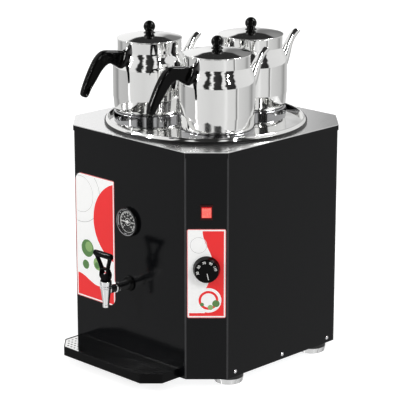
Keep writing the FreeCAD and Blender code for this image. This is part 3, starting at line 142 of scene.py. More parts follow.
class Finish:
    """The nodes of a material or of the world."""

    def __init__(self, owner):
        owner.use_nodes = True
        self.owner = owner
        self.tree = owner.node_tree
        self.tree.nodes.clear()

    def node(self, kind, settings=None, sockets=None, out=0):
        made = self.tree.nodes.new("ShaderNode" + kind)
        for name, value in (settings or {}).items():
            if name == "stops":
                stops = made.color_ramp.elements
                stops.remove(stops[1])
                stops[0].position = value[0][0]
                stops[0].color = value[0][1]
                for where, colour in value[1:]:
                    stops.new(where).color = colour
            else:
                setattr(made, name, value)
        for name, value in (sockets or {}).items():
            if isinstance(value, Wire):
                self.tree.links.new(value.socket, made.inputs[name])
            else:
                made.inputs[name].default_value = value
        return Wire(self, made.outputs[out]) if made.outputs else None

    def spot(self):
        return self.node("TexCoord", out="Object")

    def noise(self, scale, detail=2.0, stretch=(1, 1, 1)):
        spot = self.node("Mapping", {}, {"Vector": self.spot(), "Scale": stretch})
        return self.node("TexNoise", {}, {"Vector": spot, "Scale": scale, "Detail": detail})

    def blend(self, mask, first, second):
        return self.node("Mix", {"data_type": "RGBA"}, {0: mask, 6: first, 7: second}, out=2)

    def axis(self, name):
        return self.node("SeparateXYZ", {}, {"Vector": self.spot()}, out=name)

    def bump(self, height, depth):
        return self.node("Bump", {}, {"Height": height, "Distance": depth, "Strength": 1.0})

    def fade(self, value, start, end, first=0.0, last=1.0):
        """From first to last while the value goes from start to end."""
        return self.node("MapRange", {}, {0: value, 1: start, 2: end, 3: first, 4: last})

    def surface(self, sockets):
        shader = self.node("BsdfPrincipled", {}, sockets)
        self.node("OutputMaterial", {}, {"Surface": shader})
        return self.owner


def material(name):
    return Finish(bpy.data.materials.new(name))


def grey(level):
    return (level, level, level, 1)


print("wires are ready")

# %% [markdown]
# ## The room that the steel mirrors
#
# Polished steel has no colour of its own, it only shows the room, so the room gets what a
# photographer puts there. Directions are fixed in the room, so the reflections stay right from
# any side. Two ramps run once round the urn: one for what stands at the height of the urn, and
# one for what lies lower. The high one has a dark strip with two bright gaps, which gives the
# teapots their dark shoulders.

# %% Round the urn
studio = bpy.data.worlds.new("studio")
bpy.context.scene.world = studio
sky = Finish(studio)
way = sky.node("TexCoord", out="Generated")
east, north, up = (sky.node("SeparateXYZ", {}, {"Vector": way}, out=name) for name in "XYZ")
EAST_PART = 0.702
NORTH_PART = 0.712
near = EAST_PART * east - NORTH_PART * north
aside = EAST_PART * north + NORTH_PART * east
bent = sky.node("TexNoise", {}, {"Vector": way, "Scale": 3.5, "Detail": 3.0})
round_about = aside.maths("ARCTAN2", aside, near) / math.tau + 0.5


def greys(*stops):
    """Stops of a ramp in grey, from pairs of place and level."""
    return {"stops": [(place, grey(level)) for place, level in stops]}


strip = sky.node("ValToRGB", greys(
    (0.0, 0.8), (0.012, 1.0), (0.30, 0.9), (0.385, 0.85), (0.40, 0.02), (0.43, 0.03),
    (0.445, 1.0), (0.46, 1.0), (0.475, 0.04), (0.54, 0.02), (0.55, 0.9), (0.565, 1.0),
    (0.575, 0.04), (0.66, 0.02), (0.67, 0.8), (0.86, 0.85), (0.95, 0.7), (0.982, 0.2),
    (0.988, 0.2), (0.995, 0.9)), {"Fac": round_about + 0.09 * (bent - 0.5) * near.most(0.0)})
ground = sky.node("ValToRGB", greys(
    (0.0, 0.62), (0.12, 0.5), (0.17, 0.3), (0.2, 0.6), (0.305, 0.56), (0.312, 1.8),
    (0.318, 1.8), (0.326, 0.82), (0.45, 0.74), (0.55, 0.8), (0.575, 0.95), (0.595, 0.8),
    (0.655, 0.76), (0.668, 0.22), (0.674, 0.3), (0.68, 1.0), (0.69, 0.72), (0.8, 0.6),
    (0.85, 0.34), (0.9, 0.6)), {"Fac": round_about})
print("two ramps run round the urn")

# %% [markdown]
# ## Low, high and dark places of the room
#
# The ceiling is white. Three places are dark: a hood high above the camera, a dark patch high
# behind the urn, which the lids of the teapots mirror in front of their knobs, and a small one at
# the side. A place is a mask between zero and one, and the largest of the three masks counts.

# %% Dark places
low_edge = sky.fade(up + 0.05 * bent, -0.10, -0.08)
high_edge = sky.fade(up, 0.80, 0.86, 1.0, 0.0)
room = sky.blend(low_edge, ground, sky.blend(high_edge, grey(1.0), strip))
hood = sky.fade(up + 0.22 * near, 0.86, 0.90)
behind = sky.fade(up + 0.06 * bent, 0.475, 0.5) * (near < 0.0)
behind = behind * sky.fade(abs(aside), 0.30, 0.40, 1.0, 0.0)
beside = (abs(round_about - 0.25) < 0.045) * (abs(up - 0.35) < 0.08)
room = sky.blend(hood.most(behind).most(beside), room, grey(0.03))
print("the room has its dark places")

# %% [markdown]
# ## White background and floor
#
# The urn stands in a white sweep: floor and background are pure white and the urn's soft shadow is
# hardly seen. A ray knows what it is for, so the world is plain white to the camera, the room in a
# mirror, and an even grey light for all else. The floor glows a little to the camera, so that only
# its shadow is darker than white.

# %% World and floor


def is_ray(finish, *kinds):
    """One for rays of these kinds, zero for others."""
    found = finish.node("LightPath", out=kinds[0])
    for kind in kinds[1:]:
        found = found + finish.node("LightPath", out=kind)
    return found.least(1.0)


colour = sky.blend(sky.node("LightPath", out="Is Glossy Ray"), grey(0.70), room)
colour = sky.blend(is_ray(sky, "Is Camera Ray", "Is Transmission Ray"), colour, grey(1.0))
sky.node("OutputWorld", {}, {"Surface": sky.node(
    "Background", {}, {"Color": colour, "Strength": 1.0})})
sweep = material("white_sweep")
seen = is_ray(sweep, "Is Camera Ray", "Is Glossy Ray", "Is Transmission Ray")
paper = sweep.node("BsdfDiffuse", {}, {"Color": grey(0.45)})
glow = sweep.node("Emission", {}, {"Color": grey(1.0), "Strength": 0.8 * seen})
sweep.node("OutputMaterial", {}, {"Surface": sweep.node("AddShader", {}, {0: paper, 1: glow})})
FLOOR_EDGE = 9
mesh = bpy.data.meshes.new("floor")
mesh.from_pydata([(-FLOOR_EDGE, -FLOOR_EDGE, 0), (FLOOR_EDGE, -FLOOR_EDGE, 0),
                  (FLOOR_EDGE, FLOOR_EDGE, 0), (-FLOOR_EDGE, FLOOR_EDGE, 0)], [], [range(4)])
floor = bpy.data.objects.new("floor", mesh)
bpy.context.scene.collection.objects.link(floor)
floor.data.materials.append(sweep.owner)
floor.visible_glossy = False
print("floor and world are white")

# %% [markdown]
# ## Lamps
#
# Two tall soft boxes stand in front of the urn, one at each side, and a third hangs above it. The
# two side boxes are what the glossy black parts show as small bright shapes; the top one is not seen
# in gloss. Two strips are seen only in gloss: they draw small bright lines on the lever, the handles
# and the knobs.

# %% Soft boxes


def soft_box(name, place, size, watts):
    lamp = bpy.data.objects.new(name, bpy.data.lights.new(name, "AREA"))
    bpy.context.scene.collection.objects.link(lamp)
    lamp.data.shape = "RECTANGLE"
    lamp.data.size = size[0]
    lamp.data.size_y = size[1]
    lamp.data.energy = watts
    lamp.location = place
    lamp.rotation_euler = (Vector((0, 0, 0.4)) - lamp.location).to_track_quat("-Z", "Y").to_euler()
    lamp.visible_camera = False
    return lamp


soft_box("left_box", (-1.3, -3.2, 1.9), (0.16, 1.3), 40)
soft_box("right_box", (3.3, -0.5, 2.3), (0.16, 1.2), 32)
above = soft_box("top_box", (0.3, 0.4, 3.2), (1.6, 1.6), 30)
above.visible_glossy = False
for name, place, size, watts in (("ridge_strip", (1.47, 1.66, 2.86), (0.5, 1.2), 120),
                                 ("front_strip", (-2.2, -2.1, 2.1), (0.1, 1.2), 40)):
    soft_box(name, place, size, watts).visible_diffuse = False
print("three soft boxes and two strips")

# %% [markdown]
# ## Black lacquer of the cabinet
#
# Gloss enamel on folded steel. Nearly all that is seen in it is a weak mirror image of the white
# room, so the colour is close to black and the reflection is kept low. A very fine ripple, as a
# sprayed coat has, breaks up the image. Thin lighter lines along the folds are a painted highlight,
# where the bent edges catch the light.

# %% Lacquer
lacquer = material("gloss_black")
ripple = lacquer.noise(260, 2)
across = abs(lacquer.axis("X")) * 1000
along = abs(lacquer.axis("Y")) * 1000
FACE = 225
FOLD = 165
fold = abs(across - FOLD) + abs(along - FACE)
fold = fold.least(abs(across - FACE) + abs(along - FOLD))
# Painted highlight: lighter lines along the folds, where the bent edges catch the light.
fold_painted_highlight = (fold < 2.6) * (0.4 + lacquer.noise(9, 2))
paint = lacquer.blend(ripple, (0.0022, 0.0024, 0.0030, 1), (0.0032, 0.0034, 0.0040, 1))
lacquer.surface({
    "Base Color": lacquer.blend(fold_painted_highlight, paint, (0.045, 0.045, 0.047, 1)),
    "Roughness": 0.12 + 0.05 * lacquer.noise(14, 3),
    "Specular IOR Level": 0.18,
    "Normal": lacquer.bump(ripple, 0.00001),
})
print(lacquer.owner.name)

# %% [markdown]
# ## Steel in its states
#
# The same metal is used polished, satin and as rolled. Only two things change: how rough it is,
# and which way the fine lines of the abrasive run. Stretching a noise along one axis draws such
# lines. A pressed sheet is never quite true, so a slow wave bends its reflections a little as
# well.

# %% Steels


def steel(name, colour, rough, spread, lines, scale=90, depth=0.000004, wave=0.0001):
    finish = material(name)
    grain = finish.noise(scale, 3, lines)
    wear = finish.noise(9, 3)
    dark = tuple(channel * 0.93 for channel in colour[:3]) + (1,)
    finish.surface({
        "Base Color": finish.blend(wear, dark, colour),
        "Metallic": 1.0,
        "Roughness": rough + spread * (grain - 0.5) + spread * 0.5 * (wear - 0.5),
        "Normal": finish.bump(grain * depth + finish.noise(22, 1) * wave, 1.0),
    })
    return finish.owner


polished = steel("polished_steel", (0.88, 0.88, 0.87, 1), 0.06, 0.03, (1, 1, 1), 160, 0.000001,
                 0.0005)
satin = steel("satin_steel", (0.94, 0.94, 0.94, 1), 0.2, 0.08, (1, 40, 40), 20, 0.000006)
rolled = steel("tank_steel", (0.58, 0.58, 0.59, 1), 0.36, 0.1, (30, 30, 1), 30, 0.000006)
bright = steel("screw_steel", (0.78, 0.78, 0.79, 1), 0.16, 0.06, (1, 1, 1), 400, 0.000004)
zinc = steel("pan_steel", (0.55, 0.57, 0.59, 1), 0.42, 0.2, (1, 1, 1), 60, 0.000010)
chrome = steel("tap_chrome", (0.92, 0.92, 0.92, 1), 0.08, 0.03, (1, 1, 6), 200, 0.000002)
gold = steel("brass", (0.72, 0.47, 0.16, 1), 0.22, 0.1, (1, 1, 1), 200, 0.000005)
# A darker chrome as painted shade and reflection: the seat rings are darkened for the pots' shade
# over them, the bezel ring for the dark it mirrors.
painted_dark_chrome = steel("dark_chrome", (0.40, 0.40, 0.41, 1), 0.07, 0.03, (1, 1, 1), 160, 0.000001)
print("eight metals")

# %% [markdown]
# ## Plastics and rubber
#
# Moulded black plastic is not one black: the knob has a fine satin texture, the handles and lid
# knobs are polished bakelite, and the tap's lever is glossy. Each gets its own grain and gloss.

# %% Plastics


def moulded(name, colour, rough, spread, scale, depth, specular=0.5):
    finish = material(name)
    grain = finish.noise(scale, 4)
    cloud = finish.noise(25, 2)
    light = tuple(min(1, channel * 1.25 + 0.0004) for channel in colour[:3]) + (1,)
    finish.surface({
        "Base Color": finish.blend(cloud, colour, light),
        "Roughness": rough + spread * (grain - 0.5),
        "Specular IOR Level": specular,
        "Normal": finish.bump(grain, depth),
    })
    return finish.owner


bakelite = moulded("bakelite", (0.0008, 0.0008, 0.0008, 1), 0.09, 0.04, 120, 0.000004, 0.11)
knob_black = moulded("knob_plastic", (0.0016, 0.0016, 0.0016, 1), 0.16, 0.06, 900, 0.000006, 0.09)
tap_black = moulded("tap_black", (0.0008, 0.0008, 0.0009, 1), 0.09, 0.04, 300, 0.000004, 0.08)
soft_black = moulded("black_plastic", (0.004, 0.004, 0.004, 1), 0.42, 0.1, 1200, 0.000012, 0.2)
tray_black = moulded("tray_black", (0.0012, 0.0012, 0.0014, 1), 0.2, 0.06, 500, 0.000005, 0.1)
cream = moulded("terminal_plastic", (0.62, 0.58, 0.47, 1), 0.5, 0.1, 700, 0.000012)
glazed = moulded("ceramic", (0.75, 0.71, 0.62, 1), 0.25, 0.1, 60, 0.000012)
rubber = moulded("seat_rubber", (0.45, 0.44, 0.42, 1), 0.6, 0.1, 900, 0.000015)
case_black = moulded("meter_case", (0.002, 0.002, 0.0022, 1), 0.12, 0.05, 300, 0.000004, 0.12)
white_paint = moulded("needle_white", (0.80, 0.80, 0.78, 1), 0.35, 0.1, 500, 0.000006)
wool = moulded("mineral_wool", (0.50, 0.42, 0.20, 1), 0.95, 0.1, 420, 0.0012, 0.1)
print("eleven moulded and painted finishes")

# %% [markdown]
# ## Finishes on the parts
#
# Most parts are right as they come from the frame and only need a finish. Some get a tiny bevel as
# well, because a perfectly sharp edge never catches the light.

# %% Dressing the frame


def dress(finish, *names, bevel=0.0):
    for name in names:
        part = parts[name]
        part.data.materials.clear()
        part.data.materials.append(finish)
        if bevel:
            part.modifiers.new("joined", "WELD").merge_threshold = 0.00001
            edges = part.modifiers.new("edges", "BEVEL")
            edges.width = bevel
            edges.segments = 2
            edges.limit_method = "ANGLE"
            edges.angle_limit = math.radians(40)
            edges.harden_normals = True


dress(lacquer.owner, "casing_wrap", "rear_panel", "top_frame")
dress(zinc, "base_pan", "tray_arms")
dress(satin, "top_plate")
dress(polished, "tank_lid", "seat_collars")
dress(rolled, "tank")
dress(bright, "casing_screws", "foot_bolts", "heating_element")
dress(gold, "element_nuts", "tap_locknut", "thermostat_bulb")
dress(wool, "insulation_jacket")
dress(glazed, "limit_thermostat")
dress(cream, "terminal_block")
dress(soft_black, "cable_gland", "thermostat_body")
dress(bright, "thermostat_shaft", "tap_lever_pin", "tap_stem")
dress(rubber, "tap_seat_cup")
dress(chrome, "tap_shank", "tap_body")
# The bonnet is black plastic. The chrome flange gets it too, as a painted dark reflection of the
# black panel it lies on.
dress(tap_black, "tap_bonnet", "tap_flange", bevel=0.0008)
dress(tray_black, "drip_tray", bevel=0.0005)
dress(polished, "drip_grid")
dress(knob_black, "thermostat_knob")
dress(case_black, "thermometer_case", "thermometer_dial")
dress(white_paint, "thermometer_needle")
for pot in ("pot_front", "pot_back", "pot_left"):
    dress(polished, pot + "_bracket")
print("the frame's parts have a finish")

# %% [markdown]
# ## Tools for making pieces
#
# A few small tools make nearly every piece. One turns a profile of lines and arcs into points, one
# puts faces between rows of points, and the last makes an object of them, in millimetres as on a
# drawing, and lets it ride on its body.

# %% Profiles, skins and pieces


def drawn(path, fine=6):
    """Points of a profile. A stop is (x, z), or (x, z, radius, side) at the end of an arc."""
    points = [Vector(path[0])]
    for stop in path[1:]:
        start = points[-1]
        end = Vector(stop[:2])
        if len(stop) == 4:
            side = 1 if stop[3] == "left" else -1
            chord = end - start
            rise = math.sqrt(max(0, stop[2] ** 2 - chord.length_squared / 4))
            centre = (start + end) / 2 + Vector((-chord.y, chord.x)).normalized() * rise * side
            sweep = 2 * math.asin(min(1, chord.length / 2 / stop[2])) * side
            steps = max(2, math.ceil(abs(math.degrees(sweep)) / fine))
            for step in range(1, steps):
                points.append(centre + Matrix.Rotation(sweep * step / steps, 2) @ (start - centre))
        points.append(end)
    return points


def skin(rows, closed=True):
    """Points and faces between rows of points; a row of one point is a pole."""
    points = []
    places = []
    for row in rows:
        places.append([len(points) + step for step in range(len(row))])
        points.extend(row)
    pairs = list(zip(places, places[1:] + places[:1]))
    faces = []
    for low, high in pairs if closed else pairs[:-1]:
        around = max(len(low), len(high))
        for step in range(around if around > 1 else 0):
            after = step + 1
            corners = (low[step % len(low)], low[after % len(low)],
                       high[after % len(high)], high[step % len(high)])
            faces.append(list(dict.fromkeys(corners)))
    return points, faces


def turned(path, around=96):
    """The skin of a closed profile (radius, height) turned round the upright axis."""
    rows = []
    for radius, height in drawn(path):
        turns = [math.tau * step / around for step in range(around)] if radius > 1e-6 else [0]
        rows.append([Vector((radius * math.cos(turn), radius * math.sin(turn), height))
                     for turn in turns])
    return skin(rows)


def together(forms):
    """Several forms of points and faces as one."""
    points = []
    faces = []
    for form in forms:
        faces.extend([corner + len(points) for corner in face] for face in form[1])
        points.extend(form[0])
    return points, faces


def piece(name, form, finish, body, nodes=(), place=Matrix(), sharp=32):
    """An object of points in millimetres and faces, moved to its place."""
    mesh = bpy.data.meshes.new(name)
    mesh.from_pydata([place @ point / 1000 for point in form[0]], [], form[1])
    shape = bmesh.new()
    shape.from_mesh(mesh)
    bmesh.ops.recalc_face_normals(shape, faces=shape.faces)
    shape.to_mesh(mesh)
    shape.free()
    mesh.shade_smooth()
    mesh.set_sharp_from_angle(angle=math.radians(sharp))
    mesh.materials.append(finish)
    made = bpy.data.objects.new(name, mesh)
    bpy.context.scene.collection.objects.link(made)
    made.modifiers.new("even_light", "WEIGHTED_NORMAL").keep_sharp = True
    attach(made, body)
    if nodes:
        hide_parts(*nodes)
    return made


print("profiles, skins and pieces can be made")

# %% [markdown]
# ## Teapot bodies
#
# A teapot is spun from one disc of steel: a rounded heel, a nearly straight side, then the wall
# turns in over a large arc, back over a small one, and ends in a rolled rim. It has an inside too,
# because the lid lifts off. All three pots stand in their seats turned the same way.

# %% Bodies
seats = {}
for name, degrees in (("pot_front", -34.8), ("pot_back", 85.2), ("pot_left", 205.2)):
    turn = math.radians(degrees)
    seats[name] = Matrix.Translation((126 * math.cos(turn), 126 * math.sin(turn), 506.5))
    seats[name] = seats[name] @ Matrix.Rotation(math.radians(83), 4, "Z")
shell = turned([
    (0, 0), (60, 0), (76, 16, 16, "left"), (77.6, 34), (78, 38.5, 30, "left"), (78, 97.5),
    (71.3, 122.5, 50, "left"), (67.5, 136.7, 28.4, "right"), (67.5, 157.3),
    (68.6, 158.4, 1.1, "left"), (67.5, 159.5, 1.1, "left"), (66, 159.5), (66, 136.7),
    (70, 121.75, 29.9, "left"), (76.5, 97.5, 48.5, "right"), (76.5, 38.5), (74.5, 16),
    (60, 1.5, 14.5, "right"), (0, 1.5)], 128)
for name, seat in seats.items():
    piece(name + "_shell", shell, polished, name, [name + "_body"], seat)
print("teapot body:", len(shell[0]), "points")

# %% [markdown]
# ## Spouts
#
# A swan neck spout narrows upwards and bends twice. It is described by six hoops, and a smooth
# curve through them gives all hoops between. Each line along the spout starts where it meets the
# pot's side, which is found by halving the interval, so that the spout grows out of the wall with
# a clean seam. The tube has a real wall and an open mouth.

# %% Spouts
NECK = [(60, 65.5, 17, 40), (84, 85.5, 15, 50), (97, 108.5, 12, 62), (107, 128.5, 9, 60),
        (118, 143.5, 8, 47), (131.5, 154, 7, 65)]


def smooth_at(stops, where):
    """A value on the smooth curve through the stops."""
    first = min(int(where), len(stops) - 2)
    part = where - first
    before, start, end, after = (
        Vector(stops[max(0, min(len(stops) - 1, first + step))]) for step in (-1, 0, 1, 2))
    return 0.5 * (2 * start + (end - before) * part
                  + (2 * before - 5 * start + 4 * end - after) * part ** 2
                  + (3 * start - before - 3 * end + after) * part ** 3)


def on_spout(where, turn, wall):
    across, height, radius, slope = smooth_at(NECK, where)
    slope = math.radians(slope)
    out = (radius - wall) * math.cos(turn)
    return Vector((across - out * math.sin(slope), (radius - wall) * math.sin(turn),
                   height + out * math.cos(slope)))


def seam_at(turn, wall):
    """Where a line along the spout comes out of the pot's side."""
    low, high = 0.0, 2.5
    for _ in range(24):
        middle = (low + high) / 2
        point = on_spout(middle, turn, wall)
        if math.hypot(point.x, point.y) < 77.4:
            low = middle
        else:
            high = middle
    return high


turns = [math.tau * step / 40 for step in range(40)]
rows = []
for wall, steps in ((0.0, range(37)), (1.2, range(36, -1, -1))):
    for step in steps:
        rows.append([])
        for turn in turns:
            start = seam_at(turn, wall)
            rows[-1].append(on_spout(start + (5 - start) * step / 36, turn, wall))
lip = [on_spout(5, turn, 0.6) + Vector((0.2, 0, 0.5)) for turn in turns]
rows.insert(37, lip)
neck = skin(rows)
for name, seat in seats.items():
    piece(name + "_neck", neck, polished, name, [name + "_spout"], seat)
print("spout:", len(neck[0]), "points")

# %% [markdown]
# ## Lids and their knobs
#
# The lid is pressed from sheet: a low dome, a flat edge that rests on the pot's rim and a skirt
# that keeps it in place. The knob is a turned ball on a waisted foot.

# %% Lids
cover = turned([
    (0, 170.4), (65.5, 161, 233, "right"), (69, 160.5), (69.5, 160, 0.5, "right"),
    (69.5, 159.6), (65.2, 159.6), (65.2, 151.6), (64, 151.6), (64, 160), (60.8, 160.8),
    (0, 169.2)], 128)
ball = turned([
    (0, 0), (12.3, 0), (12.3, 0.5), (11.9, 0.9, 0.4, "left"), (8.6, 4.43, 3.5, "right"),
    (12.5, 13.5, 12.5, "left"), (0, 26, 12.5, "left")], 64)
BALL_FOOT = Matrix.Translation((0, 0, 170))
for name, seat in seats.items():
    body = name + "_cover"
    piece(name + "_dome", cover, polished, body, [name + "_lid"], seat)
    piece(name + "_ball", ball, bakelite, body, [name + "_lid_knob"],
          seat @ BALL_FOOT)
print("three lids with knobs")

# %% [markdown]
# ## Handles
#
# A bakelite handle leaves the pot at its shoulder, rises a little and then falls outwards to a
# rounded tip. Its outline is one smooth closed curve. The moulding is 17 mm wide with large
# roundings, so the outline is repeated across the width and drawn in near both faces along a
# quarter of a circle.

# %% Handles
OUTLINE = [(-70, 140.5)] + [(-82 - x, 103.5 + z) for x, z in (
    (18, 41), (33, 42.5), (45, 39.5), (58, 29), (71, 10), (85, -17), (93.5, -38), (93, -45.5),
    (87, -49.5), (80.5, -47), (72, -33), (59, -16), (45, 2), (33, 11.5), (23, 14),
    (13, 9.5))] + [(-79.7, 103.5)]
line = [smooth_at(OUTLINE, step / 7) for step in range(7 * (len(OUTLINE) - 1) + 1)]


def drawn_in(depth):
    """The outline moved inwards by a depth."""
    moved = []
    for step, point in enumerate(line):
        ahead = line[min(step + 1, len(line) - 1)] - line[max(step - 1, 0)]
        moved.append(point + Vector((-ahead.y, ahead.x)).normalized() * depth)
    return moved


rows = []
for step in range(-6, 7):
    turn = math.radians(15 * abs(step))
    depth = 5 - 5 * math.cos(turn)
    across = math.copysign(3.5 + 5 * math.sin(turn), step) if step else 0
    rows.append([Vector((x, across, z)) for x, z in drawn_in(depth)])
grip = skin(rows, closed=False)
count = len(line)
grip[1].append(list(range(count)))
grip[1].append(list(range(12 * count, 13 * count)))
for name, seat in seats.items():
    piece(name + "_grip", grip, bakelite, name, [name + "_handle"], seat, 50)
print("handle:", len(grip[0]), "points")

# %% [markdown]
# ## Seats for the teapots
#
# Each teapot stands inside a low ring pressed up from the lid, with a lip turned inwards. The
# rings are turned shapes like the pots, and all three are one piece. They stand in the shade of
# the pots, so they get the darker chrome.

# %% Collars
collar = turned([
    (75, 0), (76.5, 0), (76.5, 10), (74.5, 12, 2, "left"), (72.7, 12), (72, 11.3, 0.7, "left"),
    (72, 10.5), (75, 10.5)], 128)
BELOW_POT = Vector((0, 0, -7))
rings = together(([seat.translation + BELOW_POT + point for point in collar[0]], collar[1])
                 for seat in seats.values())
piece("seat_rings", rings, painted_dark_chrome, "lid_tray", ["seat_collars"])
print("three seats")

# %% [markdown]
# ## Dark ring under the lid's rim
#
# A thin black ring hugs the rim of the tank lid and draws a dark line between its bright rim and the
# top plate: a painted shade for the shadow and dark reflection under the rim.

# %% Shade ring under the rim
# Painted shade: a black ring where the rim's shadow and dark reflection fall.
painted_shade_ring = turned([(211.9, 498.1), (213.4, 498.1), (213.7, 500.5), (213.2, 503), (212, 503)], 192)
piece("rim_painted_shade", painted_shade_ring, soft_black, "lid_tray")
print("a dark line under the rim")

# %% [markdown]
# ## Feet
#
# Each foot is a polished steel cup, painted black above 12 mm: a painted shade for the dark that the
# cabinet's underside casts and mirrors on it. Height decides which of the two a point gets, so one
# finish does both.

# %% Finish of the feet
cup = material("polished_foot")
worn = cup.noise(120, 3)
# Painted shade: above this height the foot is black, rough and not metallic.
painted_shade_top = cup.axis("Z") * 1000 + worn > 12.0
cup.surface({
    "Base Color": cup.blend(painted_shade_top, (0.82, 0.82, 0.82, 1), (0.004, 0.004, 0.004, 1)),
    "Metallic": 1 - painted_shade_top,
    "Roughness": 0.10 + 0.05 * worn + 0.25 * painted_shade_top,
    "Normal": cup.bump(worn, 0.00002),
})
dress(cup.owner, "feet")
print("the feet are two-tone")

# %% [markdown]
# ## Tap
#
# The chromed body is a long cone with two turned grooves under its head and a short nozzle at the
# tip, and a side arm that meets the shank with a collar. The cone and the arm are turned shapes.
# The cup inside the head opens at the top, where the black bonnet closes it.

# %% Tap body
TAP_AXIS = -291
tap_at = Matrix.Translation((0, TAP_AXIS, 188))
cone = turned([
    (5.2, -36), (6.4, -36), (7, -35.4, 0.6, "left"), (7, -30.5), (6.5, -30), (6.7, -29.3),
    (8.9, -12), (11.2, 3.6), (12, 4.3), (12.3, 5.4), (12, 6.4), (11.1, 6.9), (11.1, 8.1),
    (12, 8.6), (12.4, 9.7), (12.1, 10.8), (11.3, 11.3), (11.3, 12.3), (12.2, 12.9), (12.4, 14),
    (12.4, 19.8), (11.8, 20.6, 0.8, "left"), (9.5, 20.6), (9.5, 0), (5.2, -8)], 72)
piece("tap_cone", cone, chrome, "cabinet", ["tap_body"], tap_at)
arm_at = tap_at @ Matrix.Rotation(-math.pi / 2, 4, "X")
arm = turned([
    (5.2, 8.5), (9, 8.5), (9, 24), (9.6, 24.4), (10.6, 25.2), (10.6, 29.6), (10, 30.4),
    (9.4, 30.8), (9.4, 33), (5.2, 33)], 56)
piece("tap_arm", arm, chrome, "cabinet", (), arm_at)
print("tap with two grooves and an arm")

# %% [markdown]
# ## Tap lever
#
# The lever is one glossy moulding: two cheeks on the pin, a bridge, two arms and a thick cross
# bar. Each limb is a row of ellipses along a line. A voxel remesh then melts the limbs into one
# skin, as the mould does, and a smoothing pass rounds where they meet.

# %% Lever
LIMBS = [
    [(-9.9, -6, 2.0, 6), (-9.9, 2, 2.1, 8.6), (-9.9, 10, 2.2, 7), (-8.6, 17, 3.6, 5.5)],
    [(9.9, -6, 2.0, 6), (9.9, 2, 2.1, 8.6), (9.9, 10, 2.2, 7), (8.6, 17, 3.6, 5.5)],
    [(-9.5, 17, 3.4, 5.2), (-12, 25, 4.0, 4.6), (-17, 36, 4.6, 4.4), (-20.5, 45, 5.2, 4.8)],
    [(9.5, 17, 3.4, 5.2), (12, 25, 4.0, 4.6), (17, 36, 4.6, 4.4), (20.5, 45, 5.2, 4.8)],
]
BAR = [(-26, 47, 5.0, 4.2), (-23, 47, 6.6, 5.4), (0, 47, 6.9, 5.8), (23, 47, 6.6, 5.4),
       (26, 47, 5.0, 4.2)]
BRIDGE = [(-11, 16.5, 2.6, 5), (0, 16.2, 2.2, 5), (11, 16.5, 2.6, 5)]
HOOPS = 17
CORNERS = 20


def limb(stops, along_x=False):
    """Hoops along a line through stops of (place across, height, half width, half depth)."""
    rows = []
    for step in range(HOOPS):
        first, second, wide, deep = smooth_at(stops, step * (len(stops) - 1) / (HOOPS - 1))
        ring = []
        for turn in (math.tau * corner / CORNERS for corner in range(CORNERS)):
            if along_x:
                ring.append(Vector((first, deep * math.cos(turn), second + wide * math.sin(turn))))
            else:
                ring.append(Vector((first + wide * math.cos(turn), deep * math.sin(turn), second)))
        rows.append(ring)
    form = skin(rows, closed=False)
    last = (HOOPS - 1) * CORNERS
    form[1].extend([list(range(CORNERS)), list(range(last, last + CORNERS))])
    return form


fork = together([limb(stops) for stops in LIMBS] + [limb(BRIDGE, True), limb(BAR, True)])
lever_at = Matrix.Translation((0, TAP_AXIS, 219)) @ Matrix.Rotation(math.radians(7.4), 4, "X")
lever = piece("lever_fork", fork, tap_black, "lever", ["tap_lever"], lever_at)
lever.modifiers.clear()
melt = lever.modifiers.new("melt", "REMESH")
melt.mode = "VOXEL"
melt.voxel_size = 0.0006
melt.use_smooth_shade = True
calm = lever.modifiers.new("calm", "SMOOTH")
calm.iterations = 4
print("lever of", len(LIMBS) + 2, "limbs")

# %% [markdown]
# ## Thermostat knob
#
# A tapered black knob with a soft edge. The numbers and the pointer line are printed in white.
# They are thin raised pieces here, so that they turn with the knob. On the cut corner "up" stays
# up and the knob's axis points out of the corner, so one matrix places everything there.

# %% Knob
printed = moulded("dial_print", (0.78, 0.78, 0.76, 1), 0.5, 0.1, 900, 0.000004, 0.3)
half = math.sqrt(0.5)


def on_corner(height):
    return Matrix(((half, 0, half, 195), (half, 0, -half, -195), (0, 1, 0, height), (0, 0, 0, 1)))


KNOB_HEIGHT = 256.5
knob_at = on_corner(KNOB_HEIGHT)
knob = turned([
    (0, 2.2), (27, 2.2), (27.5, 2.7, 0.5, "left"), (27.5, 4.2), (24.6, 15.6),
    (22.9, 17.2, 1.8, "left"), (0, 16.8)], 96)
piece("knob_cap", knob, knob_black, "knob", ["thermostat_knob"], knob_at)


def writing(name, words, size, place, body):
    """Printed words as a thin raised text in Blender's own font."""
    curve = bpy.data.curves.new(name, "FONT")
    curve.body = words
    curve.size = size / 1000
    curve.align_x = "CENTER"
    curve.align_y = "CENTER"
    curve.extrude = 0.05 / 1000
    curve.offset = size / 60000
    curve.materials.append(printed)
    text = bpy.data.objects.new(name, curve)
    bpy.context.scene.collection.objects.link(text)
    spot = place.copy()
    spot.translation = place.translation / 1000
    text.matrix_world = spot
    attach(text, body)


def strip_of(width, low, high, thick):
    """A thin printed bar along x, with its ends at low and high."""
    rows = [[Vector((end, side * width / 2, height)) for side, height in (
        (-1, 0), (1, 0), (1, thick), (-1, thick))] for end in (low, high)]
    form = skin(rows, closed=False)
    form[1].extend([[0, 1, 2, 3], [4, 5, 6, 7]])
    return form


for step, number in enumerate(("30", "50", "70", "90", "110")):
    angle = math.radians(192 - 43 * step)
    spot = knob_at @ Matrix.Rotation(angle, 4, "Z") @ Matrix.Translation((18.0, 0, 17.2))
    spot = spot @ Matrix.Rotation(-math.pi / 2, 4, "Z")
    writing("knob_number_" + number, number, 7.2, spot, "knob")
pointer = knob_at @ Matrix.Rotation(math.radians(-78), 4, "Z") @ Matrix.Translation((0, 0, 16.95))
piece("knob_pointer", strip_of(1.3, 5, 18.5, 0.3), printed, "knob", (), pointer)
print("a knob with five numbers")

